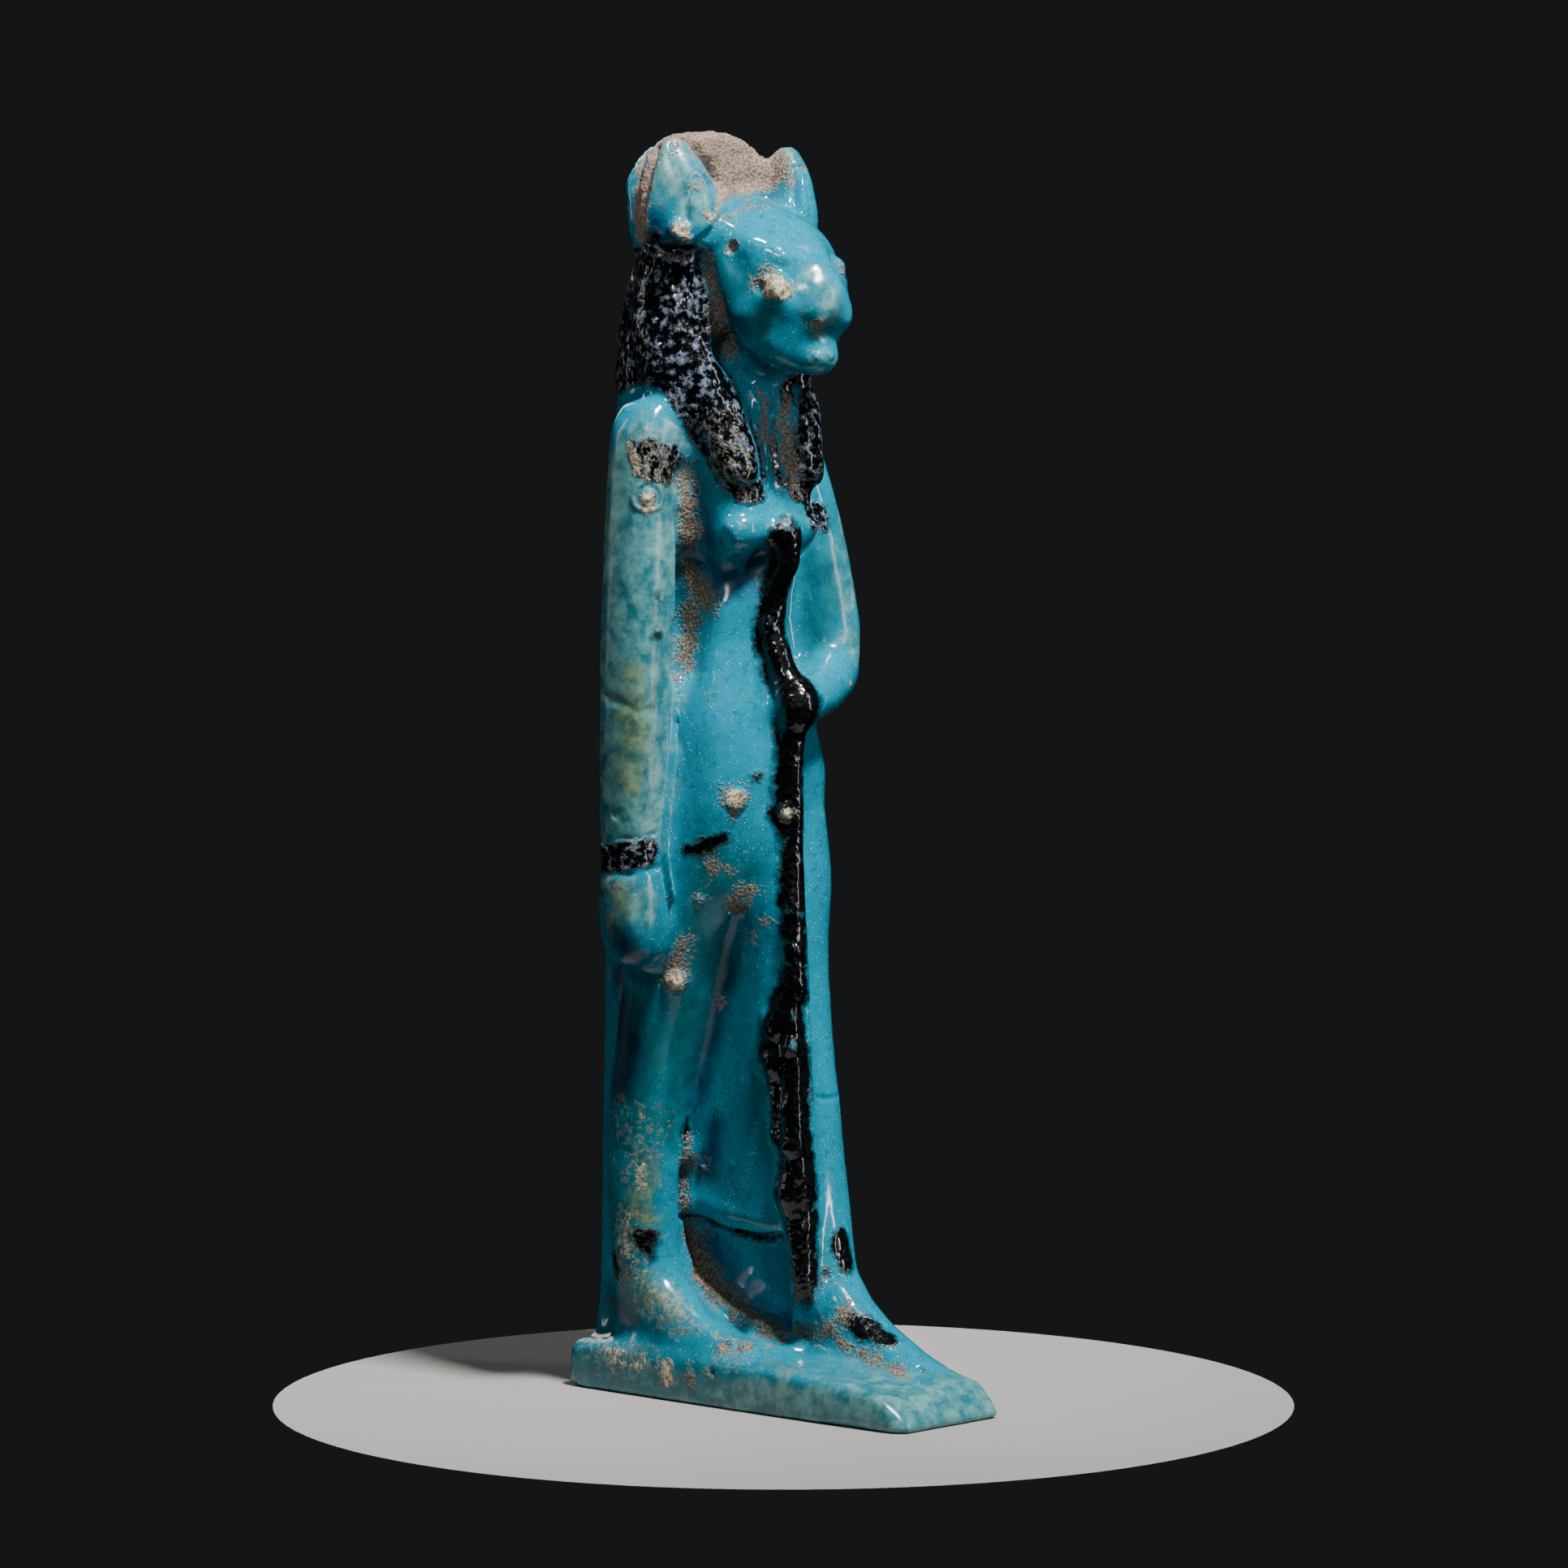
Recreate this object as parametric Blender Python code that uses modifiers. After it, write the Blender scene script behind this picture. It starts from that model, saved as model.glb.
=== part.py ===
"""A small glazed figure of a standing goddess with the head of a lioness, on its own plinth.

The figure, its back pillar, its sceptre and its plinth are one piece of moulded and fired faience.
It faces -Y, +X is on its left-hand side, and the origin is the centre of the plinth's underside.
The body is built up like clay: overlapping lumps are fused into one skin, cut back, and smoothed
as a glaze smooths them.
"""

import math

import bmesh
import bpy
from mathutils import Euler, Matrix, Vector

# Driving sizes, in metres.
FIGURE_HEIGHT = 0.0715
PLINTH_LENGTH = 0.0268
PLINTH_WIDTH = 0.0094
PLINTH_HEIGHT = 0.0029
PLINTH_WORN_HEIGHT = 0.0021  # at the front, where the top edge is rubbed down
PLINTH_WEAR_LENGTH = 0.0090  # how far back from the front the wear reaches
PLINTH_FRONT_SLOPE = 0.0017  # how far the worn front face leans back
PLINTH_EDGE = 0.04 * PLINTH_WIDTH  # how much its back and its front are rounded off
PLINTH_SQUARENESS = 14.0
BACK_TO_BODY_AXIS = 0.0076
PILLAR_WIDTH = 0.0050
PILLAR_DEPTH = 0.0032
PILLAR_INSET = 0.0003  # from the plinth's back to the pillar's

# The figure's own measure: its height is this many parts, and every length of the figure below
# is in parts, from the body's axis and from the plinth's top.
PARTS_IN_HEIGHT = 71.5
PART = FIGURE_HEIGHT / PARTS_IN_HEIGHT
BODY_AXIS_Y = PLINTH_LENGTH / 2 - BACK_TO_BODY_AXIS

# How finely the fused skin is made.
SKIN_STEPS_IN_HEIGHT = 210
SKIN_STEP = FIGURE_HEIGHT / SKIN_STEPS_IN_HEIGHT
SKIN_SMOOTHING = 6
KEPT_SHARE_OF_FACES = 0.105
SECTION_SIDES = 28
ELLIPSOID_RINGS = 18
ROOT_DEPTH = 0.8  # how far a lump that stands on the plinth goes into it, in parts
FLOOR_TRIM = 0.0006  # what the plinth is made too deep by, and cut off flat
BREAK_SLOPE = math.radians(34)  # how the disc's broken top falls away to either side
CUTTER_SIDE = 2 * FIGURE_HEIGHT


def placed(x, y, z):
    """A point of the figure, given in parts, in the model's own metres."""
    return Vector((x * PART, BODY_AXIS_Y + y * PART, PLINTH_HEIGHT + z * PART))


def add_ellipsoid(clay, centre, radii, turn=(0, 0, 0)):
    """A lump of three different radii, turned by three angles in degrees."""
    angles = Euler([math.radians(a) for a in turn])
    scale = Matrix.Diagonal([r * PART for r in radii]).to_4x4()
    matrix = Matrix.Translation(placed(*centre)) @ angles.to_matrix().to_4x4() @ scale
    bmesh.ops.create_uvsphere(clay, u_segments=SECTION_SIDES, v_segments=ELLIPSOID_RINGS,
                              radius=1.0, matrix=matrix)


def join(clay, lump):
    """Adds a finished lump to the clay, and frees it."""
    mesh = bpy.data.meshes.new("lump")
    lump.to_mesh(mesh)
    lump.free()
    clay.from_mesh(mesh)
    bpy.data.meshes.remove(mesh)


def section(half_across, half_along, power):
    """The points of one section: an ellipse at power 2, and squarer above it."""
    points = []
    for i in range(SECTION_SIDES):
        angle = math.tau * i / SECTION_SIDES
        across, along = math.cos(angle), math.sin(angle)
        points.append((
            half_across * math.copysign(abs(across) ** (2 / power), across),
            half_along * math.copysign(abs(along) ** (2 / power), along),
        ))
    return points


def skin(clay, rings):
    """Closes a row of rings of points into one lump."""
    lump = bmesh.new()
    rows = [[lump.verts.new(p) for p in ring] for ring in rings]
    for low, high in zip(rows, rows[1:]):
        for i in range(SECTION_SIDES):
            j = (i + 1) % SECTION_SIDES
            lump.faces.new((low[i], low[j], high[j], high[i]))
    lump.faces.new(rows[0][::-1])
    lump.faces.new(rows[-1])
    bmesh.ops.recalc_face_normals(lump, faces=lump.faces)
    join(clay, lump)


def add_stack(clay, sections, x=0.0, power=2.0):
    """A lump of level sections, each (height, y, half width, half depth, optional x)."""
    rings = []
    for height, y, half_width, half_depth, *own_x in sections:
        centre_x = own_x[0] if own_x else x
        rings.append([placed(centre_x + a, y + b, height)
                      for a, b in section(half_width, half_depth, power)])
    skin(clay, rings)


def add_limb(clay, stations, flatness=1.0):
    """A round limb through stations (x, y, z, radius). Flatness is its depth over its width."""
    centres = [Vector(s[:3]) for s in stations]
    whole_run = centres[-1] - centres[0]
    runs_sideways = abs(whole_run.x) > abs(whole_run.z)
    guide = Vector((0, 0, 1)) if runs_sideways else Vector((1, 0, 0))
    rings = []
    for i, (centre, station) in enumerate(zip(centres, stations)):
        run = (centres[min(i + 1, len(centres) - 1)] - centres[max(i - 1, 0)]).normalized()
        across = (guide - run * guide.dot(run)).normalized()
        above = across.cross(run)
        radius = station[3]
        rings.append([placed(*(centre + across * a + above * b))
                      for a, b in section(radius, radius * flatness, 2.0)])
    skin(clay, rings)


def add_plinth(clay):
    """The slab under the feet, with its front rubbed down. It is made too deep, and cut flat."""
    back, front = PLINTH_LENGTH / 2, -PLINTH_LENGTH / 2
    low = -FLOOR_TRIM
    stations = [
        (back, PLINTH_HEIGHT - PLINTH_EDGE, PLINTH_EDGE), (back - PLINTH_EDGE, PLINTH_HEIGHT, 0.0),
        (front + PLINTH_WEAR_LENGTH, PLINTH_HEIGHT, 0.0),
    ]
    # The worn front, in shares of its slope, of its height and of the edge it narrows by.
    for along, up, inward in ((1.0, 1.0, 0.5), (0.2, 0.45, 1.0), (0.0, 0.2, 1.5)):
        stations.append((front + along * PLINTH_FRONT_SLOPE, up * PLINTH_WORN_HEIGHT,
                         inward * PLINTH_EDGE))
    rings = []
    for y, height, narrower in stations:
        middle, half_height = (height + low) / 2, (height - low) / 2
        rings.append([Vector((a, y, middle + b))
                      for a, b in section(PLINTH_WIDTH / 2 - narrower, half_height,
                                          PLINTH_SQUARENESS)])
    skin(clay, rings)


def add_pillar(clay):
    """The back pillar, from the plinth up to the wig, and the spine that joins it to the body."""
    top, lean, foot_flare = 60.0, 1.4, 0.35
    half_width = PILLAR_WIDTH / 2 / PART
    half_depth = PILLAR_DEPTH / 2 / PART
    foot_y = (BACK_TO_BODY_AXIS - PILLAR_INSET) / PART - half_depth
    add_stack(clay, [
        (-ROOT_DEPTH, foot_y, half_width + foot_flare, half_depth),
        (1.0, foot_y, half_width + foot_flare / 2, half_depth),
        (3.0, foot_y - 0.1, half_width, half_depth),
        (top / 2, foot_y - lean / 2, half_width, half_depth),
        (top, foot_y - lean, half_width * 0.9, half_depth),
    ], power=9.0)
    spine = [(-ROOT_DEPTH, 3.8, 0.8 * half_width, 2.2), (top - 3, 2.8, 0.8 * half_width, 2.2)]
    add_stack(clay, spine, power=5.0)


def add_legs(clay):
    """Two striding legs with their feet, the dress stretched between them and the web below it."""
    right_leg = [
        (-ROOT_DEPTH, -0.6, 1.95, 5.9), (0.5, -0.3, 1.9, 5.6), (1.3, 0.25, 1.85, 5.05),
        (2.0, 1.1, 1.8, 4.2), (2.8, 2.0, 1.8, 3.2), (4.0, 2.8, 1.9, 2.4), (5.4, 3.1, 2.0, 2.1),
        (7.5, 3.2, 2.1, 2.1), (10.0, 3.2, 2.2, 2.2), (12.6, 3.0, 2.25, 2.3),
        (16.0, 2.6, 2.35, 2.4), (19.5, 1.8, 2.5, 2.5), (23.0, 0.9, 2.65, 2.8),
        (26.5, -0.1, 2.8, 3.1), (30.0, -1.1, 2.8, 3.4), (33.0, -1.9, 2.4, 3.2),
    ]
    left_leg = [
        (-ROOT_DEPTH, -11.4, 1.95, 6.3), (0.0, -10.4, 1.9, 5.6), (0.5, -9.6, 1.9, 5.0),
        (1.8, -8.3, 1.85, 3.75), (3.1, -7.4, 1.85, 2.8), (4.8, -6.65, 1.95, 2.1),
        (8.4, -6.0, 2.1, 2.1), (14.0, -4.9, 2.3, 2.35), (19.7, -3.9, 2.5, 2.5),
        (23.0, -3.4, 2.7, 2.6, 2.45), (28.0, -2.9, 3.25, 3.1, 2.6), (33.0, -2.5, 2.8, 2.9, 2.6),
    ]
    add_stack(clay, right_leg, x=-2.4, power=2.2)
    add_stack(clay, left_leg, x=2.4, power=2.2)
    dress = [
        (7.0, -0.6, 1.0, 5.9, 0.5), (12.0, -0.5, 1.1, 5.6, 0.5), (18.0, -0.7, 1.25, 5.3, 0.5),
        (24.0, -1.3, 1.6, 4.6, 0.4), (28.0, -1.8, 2.4, 4.0, 0.3), (31.0, -2.0, 3.4, 3.6, 0.2),
    ]
    add_stack(clay, dress, power=4.0)
    web = [(-ROOT_DEPTH, -0.6, 0.7, 6.0), (8.0, -0.4, 0.6, 5.4)]
    add_stack(clay, web, x=0.85, power=5.0)


def add_torso(clay):
    """Hips, waist, chest and breasts, in one close-fitting dress."""
    add_stack(clay, [
        (23.0, 0.2, 2.0, 1.6, 0.2), (26.0, -1.2, 3.6, 3.0, 0.4), (28.5, -1.7, 4.7, 3.3, 0.6),
        (31.0, -2.0, 5.3, 3.6, 0.7),
        (34.0, -2.2, 5.3, 3.7, 0.6), (37.5, -2.2, 4.7, 3.3, 0.3), (39.5, -2.0, 4.2, 2.9, 0.2),
        (42.0, -1.8, 3.5, 2.6, 0.0), (45.0, -1.8, 3.6, 2.9, 0.0), (48.0, -1.8, 4.3, 3.3, 0.0),
        (52.0, -1.3, 5.1, 3.3, 0.0), (55.0, -0.9, 5.4, 2.9, 0.0), (57.0, -0.8, 4.2, 2.4, 0.0),
    ], power=2.4)
    for side in (-1, 1):
        add_ellipsoid(clay, (2.2 * side, -4.1, 48.6), (1.9, 1.9, 1.9))
        add_ellipsoid(clay, (5.8 * side, -0.4, 54.0), (1.9, 2.1, 2.1))
    add_limb(clay, [(0, -0.8, 53, 3.0), (0, -2.0, 56.5, 2.7), (0, -2.8, 60, 2.8)])
    shoulder_web = [(32.0, 1.0, 3.6, 1.0), (40.0, 1.4, 5.4, 1.5), (55.0, 1.0, 5.6, 1.6)]
    add_stack(clay, shoulder_web, power=4.0)


def add_arms(clay):
    """The right arm hangs to a fist on the thigh, and the left one is bent to hold the sceptre."""
    right_arm = [
        (22.9, 0.3, 1.0, 1.1, -6.1), (23.6, 0.3, 1.6, 1.7, -6.15), (25.2, 0.3, 1.95, 2.05, -6.2),
        (26.9, 0.3, 1.9, 2.0, -6.3), (28.6, 0.2, 1.7, 1.85, -6.4), (31.0, 0.2, 1.75, 1.9, -6.45),
        (36.0, 0.0, 1.85, 2.0, -6.5), (40.0, -0.1, 1.95, 2.05, -6.5), (46.0, -0.4, 1.95, 2.1, -6.5),
        (51.0, -0.5, 1.9, 2.1, -6.3), (54.5, -0.6, 1.8, 2.1, -6.1), (56.0, -0.6, 1.2, 1.5, -5.9),
    ]
    add_stack(clay, right_arm, power=2.6)
    right_web = [(24.5, 0.5, 1.6, 1.5, -4.5), (40.0, 0.4, 1.6, 1.6, -4.6), (44.0, 1.1, 1.1, 0.9, -4.6)]
    add_stack(clay, right_web, power=4.0)
    left_web = [(37.0, -1.2, 1.0, 1.0, 4.4), (40.0, -0.9, 1.7, 1.7, 5.2), (47.0, -0.2, 1.7, 1.8, 5.3),
                (54.0, 0.3, 1.7, 1.7, 5.2)]
    add_stack(clay, left_web, power=4.0)
    add_limb(clay, [
        (5.2, -0.2, 55.4, 1.3), (6.0, -0.6, 52.8, 1.85), (6.6, -1.2, 50.0, 1.9),
        (7.0, -2.1, 46.0, 1.9), (7.1, -2.8, 42.4, 1.95), (6.9, -3.2, 40.2, 1.8),
    ])
    add_limb(clay, [
        (7.2, -2.6, 40.0, 1.3), (6.6, -3.5, 39.7, 1.75), (4.8, -4.8, 39.2, 1.6),
        (2.8, -5.9, 38.7, 1.45), (0.8, -6.7, 38.4, 1.35),
    ])
    add_ellipsoid(clay, (0.2, -6.7, 38.2), (1.4, 1.45, 1.55))


def add_sceptre(clay):
    """A papyrus stem held upright against the body, with its open head between the breasts."""
    add_limb(clay, [
        (0, -5.4, 49.6, 0.7), (0, -5.9, 48.6, 1.15), (0, -5.6, 46.6, 1.0), (0, -5.0, 44.4, 0.85),
        (0, -4.9, 42.6, 0.85), (0, -5.5, 41.0, 0.85), (0, -6.4, 38.5, 0.85),
        (0, -6.35, 35.0, 0.85), (0, -6.35, 31.0, 0.85), (0, -6.45, 27.0, 0.85),
        (0, -6.8, 21.5, 0.9), (0, -7.1, 14.0, 0.95), (0, -7.2, 8.0, 0.95), (0, -7.4, 2.6, 0.75),
    ])


def add_wig(clay):
    """A long wig: a helmet round the head, a fall behind and a lappet on each side of the chest."""
    add_stack(clay, [
        (50.5, 3.4, 3.6, 1.4), (54.0, 2.2, 4.6, 2.8), (56.5, 1.2, 5.2, 4.1), (59.0, 0.9, 5.3, 4.4),
        (61.5, 0.8, 5.0, 4.1), (64.0, 0.3, 4.6, 3.6), (66.0, -0.2, 4.0, 3.0),
        (67.5, -0.6, 3.2, 2.4),
    ], power=2.2)
    for side in (-1, 1):
        add_limb(clay, [
            (4.5 * side, -1.3, 64.6, 1.1), (4.45 * side, -1.7, 62.6, 1.4),
            (4.4 * side, -2.0, 60.5, 1.6), (3.9 * side, -2.7, 58.0, 1.7),
            (3.15 * side, -3.75, 55.0, 1.6), (2.75 * side, -4.6, 52.5, 1.5),
            (2.7 * side, -4.9, 50.6, 1.35),
        ], flatness=0.9)
        add_limb(clay, [
            (4.0 * side, -0.2, 65.4, 1.2), (4.3 * side, -0.3, 62.8, 1.8),
            (4.5 * side, -0.6, 60.0, 2.1), (4.3 * side, -1.3, 57.4, 2.1),
            (3.6 * side, -2.4, 54.8, 1.8),
        ])


def add_head(clay):
    """The head of a lioness: one wedge from skull to muzzle, with brows, eyes, nose and chin."""
    rings = []
    for y, z, half_width, half_height in (
        (0.5, 63.2, 3.4, 3.6), (-1.0, 63.4, 4.2, 4.4), (-3.0, 63.5, 4.4, 4.5),
        (-5.0, 62.7, 4.2, 4.7), (-6.4, 62.2, 3.8, 4.5), (-7.6, 61.7, 3.3, 4.2),
        (-8.5, 61.6, 2.6, 2.8), (-9.2, 61.5, 1.9, 1.9), (-9.7, 61.4, 1.2, 1.2),
    ):
        rings.append([placed(a, y, z + b) for a, b in section(half_width, half_height, 2.3)])
    skin(clay, rings)
    add_ellipsoid(clay, (0, -8.3, 58.6), (1.45, 1.6, 1.25))
    add_ellipsoid(clay, (0, -9.5, 61.9), (0.9, 0.65, 0.7))
    for side in (-1, 1):
        add_ellipsoid(clay, (0.95 * side, -8.9, 60.7), (1.15, 1.1, 0.95))
    add_limb(clay, [(0, -6.0, 65.6, 1.3), (0, -7.9, 64.2, 1.2), (0, -9.1, 62.4, 1.0)])
    for eye in ((-2.8, -7.7, 62.1), (2.5, -7.35, 62.8)):
        add_ellipsoid(clay, eye, (1.05, 1.0, 0.85))


def add_ears(clay):
    """Two thick, rounded ears, which lean back against the disc."""
    base, foot_x, foot_y, outward, backward = 63.6, 4.85, -2.1, 0.3, 0.9
    along, across = Vector((-0.45, -0.89, 0)), Vector((0.89, -0.45, 0))
    for side, tip in ((-1, 71.2), (1, 70.7)):
        rings = []
        for share, half_length, half_thickness in (
            (0.0, 1.6, 0.9), (0.2, 2.2, 1.25), (0.45, 2.3, 1.35), (0.7, 1.9, 1.2),
            (0.88, 1.3, 0.95), (1.0, 0.6, 0.5),
        ):
            height = base + (tip - base) * share
            centre = Vector((foot_x + outward * share, foot_y + backward * share ** 2, 0))
            rings.append([
                placed(side * p.x, p.y, height)
                for p in (centre + across * a + along * b
                          for a, b in section(half_thickness, half_length, 2.2))
            ])
        skin(clay, rings)


def add_disc(clay):
    """What is left of the sun disc behind the ears: a thick round plate, its top broken off."""
    radius, half_thickness, centre_height, middle_y = 5.3, 1.5, 67.2, 0.6
    left_shoulder, right_shoulder = 1.7, -1.9
    rings = [[], []]
    for i in range(SECTION_SIDES):
        angle = math.tau * i / SECTION_SIDES
        x, z = radius * math.cos(angle), centre_height + radius * math.sin(angle)
        fall = max(x - left_shoulder, right_shoulder - x, 0.0) * math.tan(BREAK_SLOPE)
        z = min(z, PARTS_IN_HEIGHT - fall)
        for ring, side in zip(rings, (-1, 1)):
            ring.append(placed(x, middle_y + side * half_thickness, z))
    skin(clay, rings)


def add_floor_cutter(collection):
    """A large box whose top is the floor, to cut the plinth's underside flat."""
    cutter = bmesh.new()
    bmesh.ops.create_cube(cutter, size=CUTTER_SIDE)
    mesh = bpy.data.meshes.new("floor")
    cutter.to_mesh(mesh)
    cutter.free()
    obj = bpy.data.objects.new("floor", mesh)
    obj.location = (0, 0, -CUTTER_SIDE / 2)
    obj.hide_render = True
    obj.display_type = "WIRE"
    collection.objects.link(obj)
    return obj


def glaze():
    """Turquoise faience glaze."""
    material = bpy.data.materials.new("turquoise_glaze")
    material.use_nodes = True
    shader = material.node_tree.nodes["Principled BSDF"]
    shader.inputs["Base Color"].default_value = (0.012, 0.36, 0.42, 1.0)
    shader.inputs["Roughness"].default_value = 0.2
    shader.inputs["Metallic"].default_value = 0.0
    return material


def cut(obj, cutter):
    """Takes a cutter's space away from the figure."""
    boolean = obj.modifiers.new(cutter.name, "BOOLEAN")
    boolean.operation = "DIFFERENCE"
    boolean.solver = "EXACT"
    boolean.object = cutter


def main():
    """Builds the figure as one solid."""
    for old in list(bpy.data.objects):
        bpy.data.objects.remove(old)
    parts = bpy.data.collections.new("sekhmet_figure")
    cutters = bpy.data.collections.new("cutters")
    for collection in (parts, cutters):
        bpy.context.scene.collection.children.link(collection)

    clay = bmesh.new()
    for add in (add_plinth, add_pillar, add_legs, add_torso, add_arms, add_sceptre, add_wig,
                add_head, add_ears, add_disc):
        add(clay)
    mesh = bpy.data.meshes.new("sekhmet_figure")
    clay.to_mesh(mesh)
    clay.free()
    figure = bpy.data.objects.new("sekhmet_figure", mesh)
    figure.data.materials.append(glaze())
    parts.objects.link(figure)

    fuse = figure.modifiers.new("fuse", "REMESH")
    fuse.mode = "VOXEL"
    fuse.voxel_size = SKIN_STEP
    fuse.use_smooth_shade = True
    smooth = figure.modifiers.new("glaze_softening", "SMOOTH")
    smooth.factor = 0.5
    smooth.iterations = SKIN_SMOOTHING
    fewer = figure.modifiers.new("fewer_faces", "DECIMATE")
    fewer.ratio = KEPT_SHARE_OF_FACES
    cut(figure, add_floor_cutter(cutters))


main()
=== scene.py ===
"""The looks of a small faience figure of a standing goddess with the head of a lioness.

The figure is one moulded and fired piece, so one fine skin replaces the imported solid. It is made
from that solid's own surface. Each part of the figure carves its low relief into the skin and lays
its glaze, soil and crust on it. A place seen in the photograph is named by its pixel there, and is
dropped along the camera's line of sight onto the surface that carries it.
"""

import logging
import math
from dataclasses import dataclass, field
from enum import Enum

import bmesh
import bpy
import numpy as np
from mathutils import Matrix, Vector, noise
from mathutils.bvhtree import BVHTree

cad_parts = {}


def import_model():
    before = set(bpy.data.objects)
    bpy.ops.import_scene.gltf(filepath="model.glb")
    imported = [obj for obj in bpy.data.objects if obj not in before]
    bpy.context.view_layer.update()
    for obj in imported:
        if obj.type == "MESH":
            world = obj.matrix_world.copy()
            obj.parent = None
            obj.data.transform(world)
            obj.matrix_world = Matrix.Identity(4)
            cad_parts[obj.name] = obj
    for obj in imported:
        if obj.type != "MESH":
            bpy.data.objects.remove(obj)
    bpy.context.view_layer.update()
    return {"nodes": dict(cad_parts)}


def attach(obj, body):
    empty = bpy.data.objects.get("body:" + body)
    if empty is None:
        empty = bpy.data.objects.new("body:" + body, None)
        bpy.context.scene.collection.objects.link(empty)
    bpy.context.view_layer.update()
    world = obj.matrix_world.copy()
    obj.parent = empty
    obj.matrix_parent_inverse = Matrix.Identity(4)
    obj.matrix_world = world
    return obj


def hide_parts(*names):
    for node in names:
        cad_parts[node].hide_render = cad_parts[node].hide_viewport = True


log = logging.getLogger("sekhmet_figure")

MM = 0.001
NODE = "sekhmet_figure"
BODY = "root"
FAR_MM = 3.0  # how far outside its edge a layer's attribute is still told apart
UP = np.array((0.0, 0.0, 1.0))

MIRROR = np.array((-1.0, 1.0, 1.0))

# The body's axis and the plinth's top, from which places on the figure are given.
BODY_ORIGIN_MM = np.array((0.0, 5.8, 2.9))

Pixel = tuple[float, float]
Dab = tuple[float, float, float]


class Layer(Enum):
    """What lies on the glaze, some of it laid as painted shade and highlight.

    Each is an attribute of the skin: how many mm inside its edge.
    """

    # Worn glaze is also laid as painted highlight; green, pooled and black glaze are also laid as
    # painted shade and shadow.
    WORN_AND_HIGHLIGHT = "worn_glaze_and_painted_highlight"
    TEAL_AND_SHADE = "thin_green_glaze_and_painted_shade"
    POOL_AND_SHADE = "pooled_glaze_and_painted_shade"
    OCHRE = "ochre_stain"
    WIG = "speckled_black"
    BLACK = "black_glaze_and_painted_shadow"
    LACE = "lime_film"
    CORE = "bare_core"
    SOIL = "soil"
    CRUST = "tan_crust"


class Profile(Enum):
    """How a mark rises to its full height, as a power of its rounded profile."""

    KNOB = 0.6
    MOUND = 1.5
    PIT = 1.2


@dataclass(frozen=True)
class Lens:
    """The photograph's camera, found from the plinth's and the pillar's edges.

    Its lengths are in mm and its angles in degrees. Nearest is where its view begins.
    """

    azimuth: float = -47.0
    elevation: float = 5.0
    distance: float = 480.0
    px_per_mm: float = 20.9
    target: tuple[float, float, float] = (2.967, 2.719, 36.1)
    side_px: float = 1932.0
    sensor: float = 36.0
    nearest: float = 10.0

    def back(self) -> np.ndarray:
        """Returns the direction from the figure to the camera."""
        a, e = math.radians(self.azimuth), math.radians(self.elevation)
        return np.array((math.sin(a) * math.cos(e), -math.cos(a) * math.cos(e), math.sin(e)))

    def right(self) -> np.ndarray:
        """Returns the direction of the photograph's right-hand side."""
        across = np.cross(UP, self.back())
        return across / np.linalg.norm(across)

    def project(self, points: np.ndarray) -> np.ndarray:
        """Finds the photograph's pixels for points.

        Args:
            points: rows of x, y and z in mm.

        Returns:
            Rows of the pixel's x and y.
        """
        offset = points - np.array(self.target)
        depth = self.distance - offset @ self.back()
        scale = self.px_per_mm * self.distance / depth
        up = np.cross(self.back(), self.right())
        middle = self.side_px / 2
        return np.stack([middle + offset @ self.right() * scale,
                         middle - offset @ up * scale], axis=1)

    def ray(self, pixel: Pixel) -> tuple[Vector, Vector]:
        """Finds the line of sight through a pixel.

        Args:
            pixel: the pixel's x and y.

        Returns:
            The camera's place in mm, and the line's direction.
        """
        middle = self.side_px / 2
        up = np.cross(self.back(), self.right())
        across = (pixel[0] - middle) / self.px_per_mm
        above = (middle - pixel[1]) / self.px_per_mm
        eye = np.array(self.target) + self.back() * self.distance
        direction = self.right() * across + up * above - self.back() * self.distance
        return Vector(eye), Vector(direction).normalized()

    def add_camera(self) -> None:
        """Adds the camera and makes it the scene's own."""
        data = bpy.data.cameras.new("photo_camera")
        data.sensor_width = self.sensor
        data.lens = self.sensor * self.distance * self.px_per_mm / self.side_px
        data.clip_start = self.nearest * MM
        camera = bpy.data.objects.new("photo_camera", data)
        back = Vector(self.back())
        camera.location = (Vector(self.target) + back * self.distance) * MM
        camera.rotation_euler = (-back).to_track_quat("-Z", "Y").to_euler()
        bpy.context.scene.collection.objects.link(camera)
        bpy.context.scene.camera = camera


@dataclass(frozen=True)
class Knob:
    """A round bump or pit. Its height is negative for a pit.

    Its radius and height are in mm, and rough is the share of its height that is uneven.
    """

    at: Pixel
    radius: float
    height: float
    profile: Profile = Profile.MOUND
    rough: float = 0.0


@dataclass(frozen=True)
class Line:
    """A groove or a ridge along pixels. Width and height are in mm.

    The height is negative in a groove.
    """

    path: tuple[Pixel, ...]
    width: float
    height: float


@dataclass(frozen=True)
class Fill:
    """A corner along pixels that thick glaze filled and rounded. Its width is in mm."""

    path: tuple[Pixel, ...]
    width: float


@dataclass(frozen=True)
class Plate:
    """An area raised inside an outline of pixels, or sunk if its height is negative.

    Its height, and the width over which it rises at its edge, are in mm.
    """

    outline: tuple[Pixel, ...]
    height: float
    edge: float


@dataclass(frozen=True)
class Stain:
    """A layer dabbed along pixels, each with its radius in pixels.

    Sink is how far under the surface its middle runs, in mm, so that it wraps round a rod. Thin is
    how far its depth is held back, in mm, so that it breaks up into flecks.
    """

    layer: Layer
    dabs: tuple[Dab, ...]
    sink: float = 0.0
    thin: float = 0.0


def spots(layer: Layer, *dabs: Dab) -> tuple[Stain, ...]:
    """Returns a stain of its own for each dab."""
    return tuple(Stain(layer, (dab,)) for dab in dabs)


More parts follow.
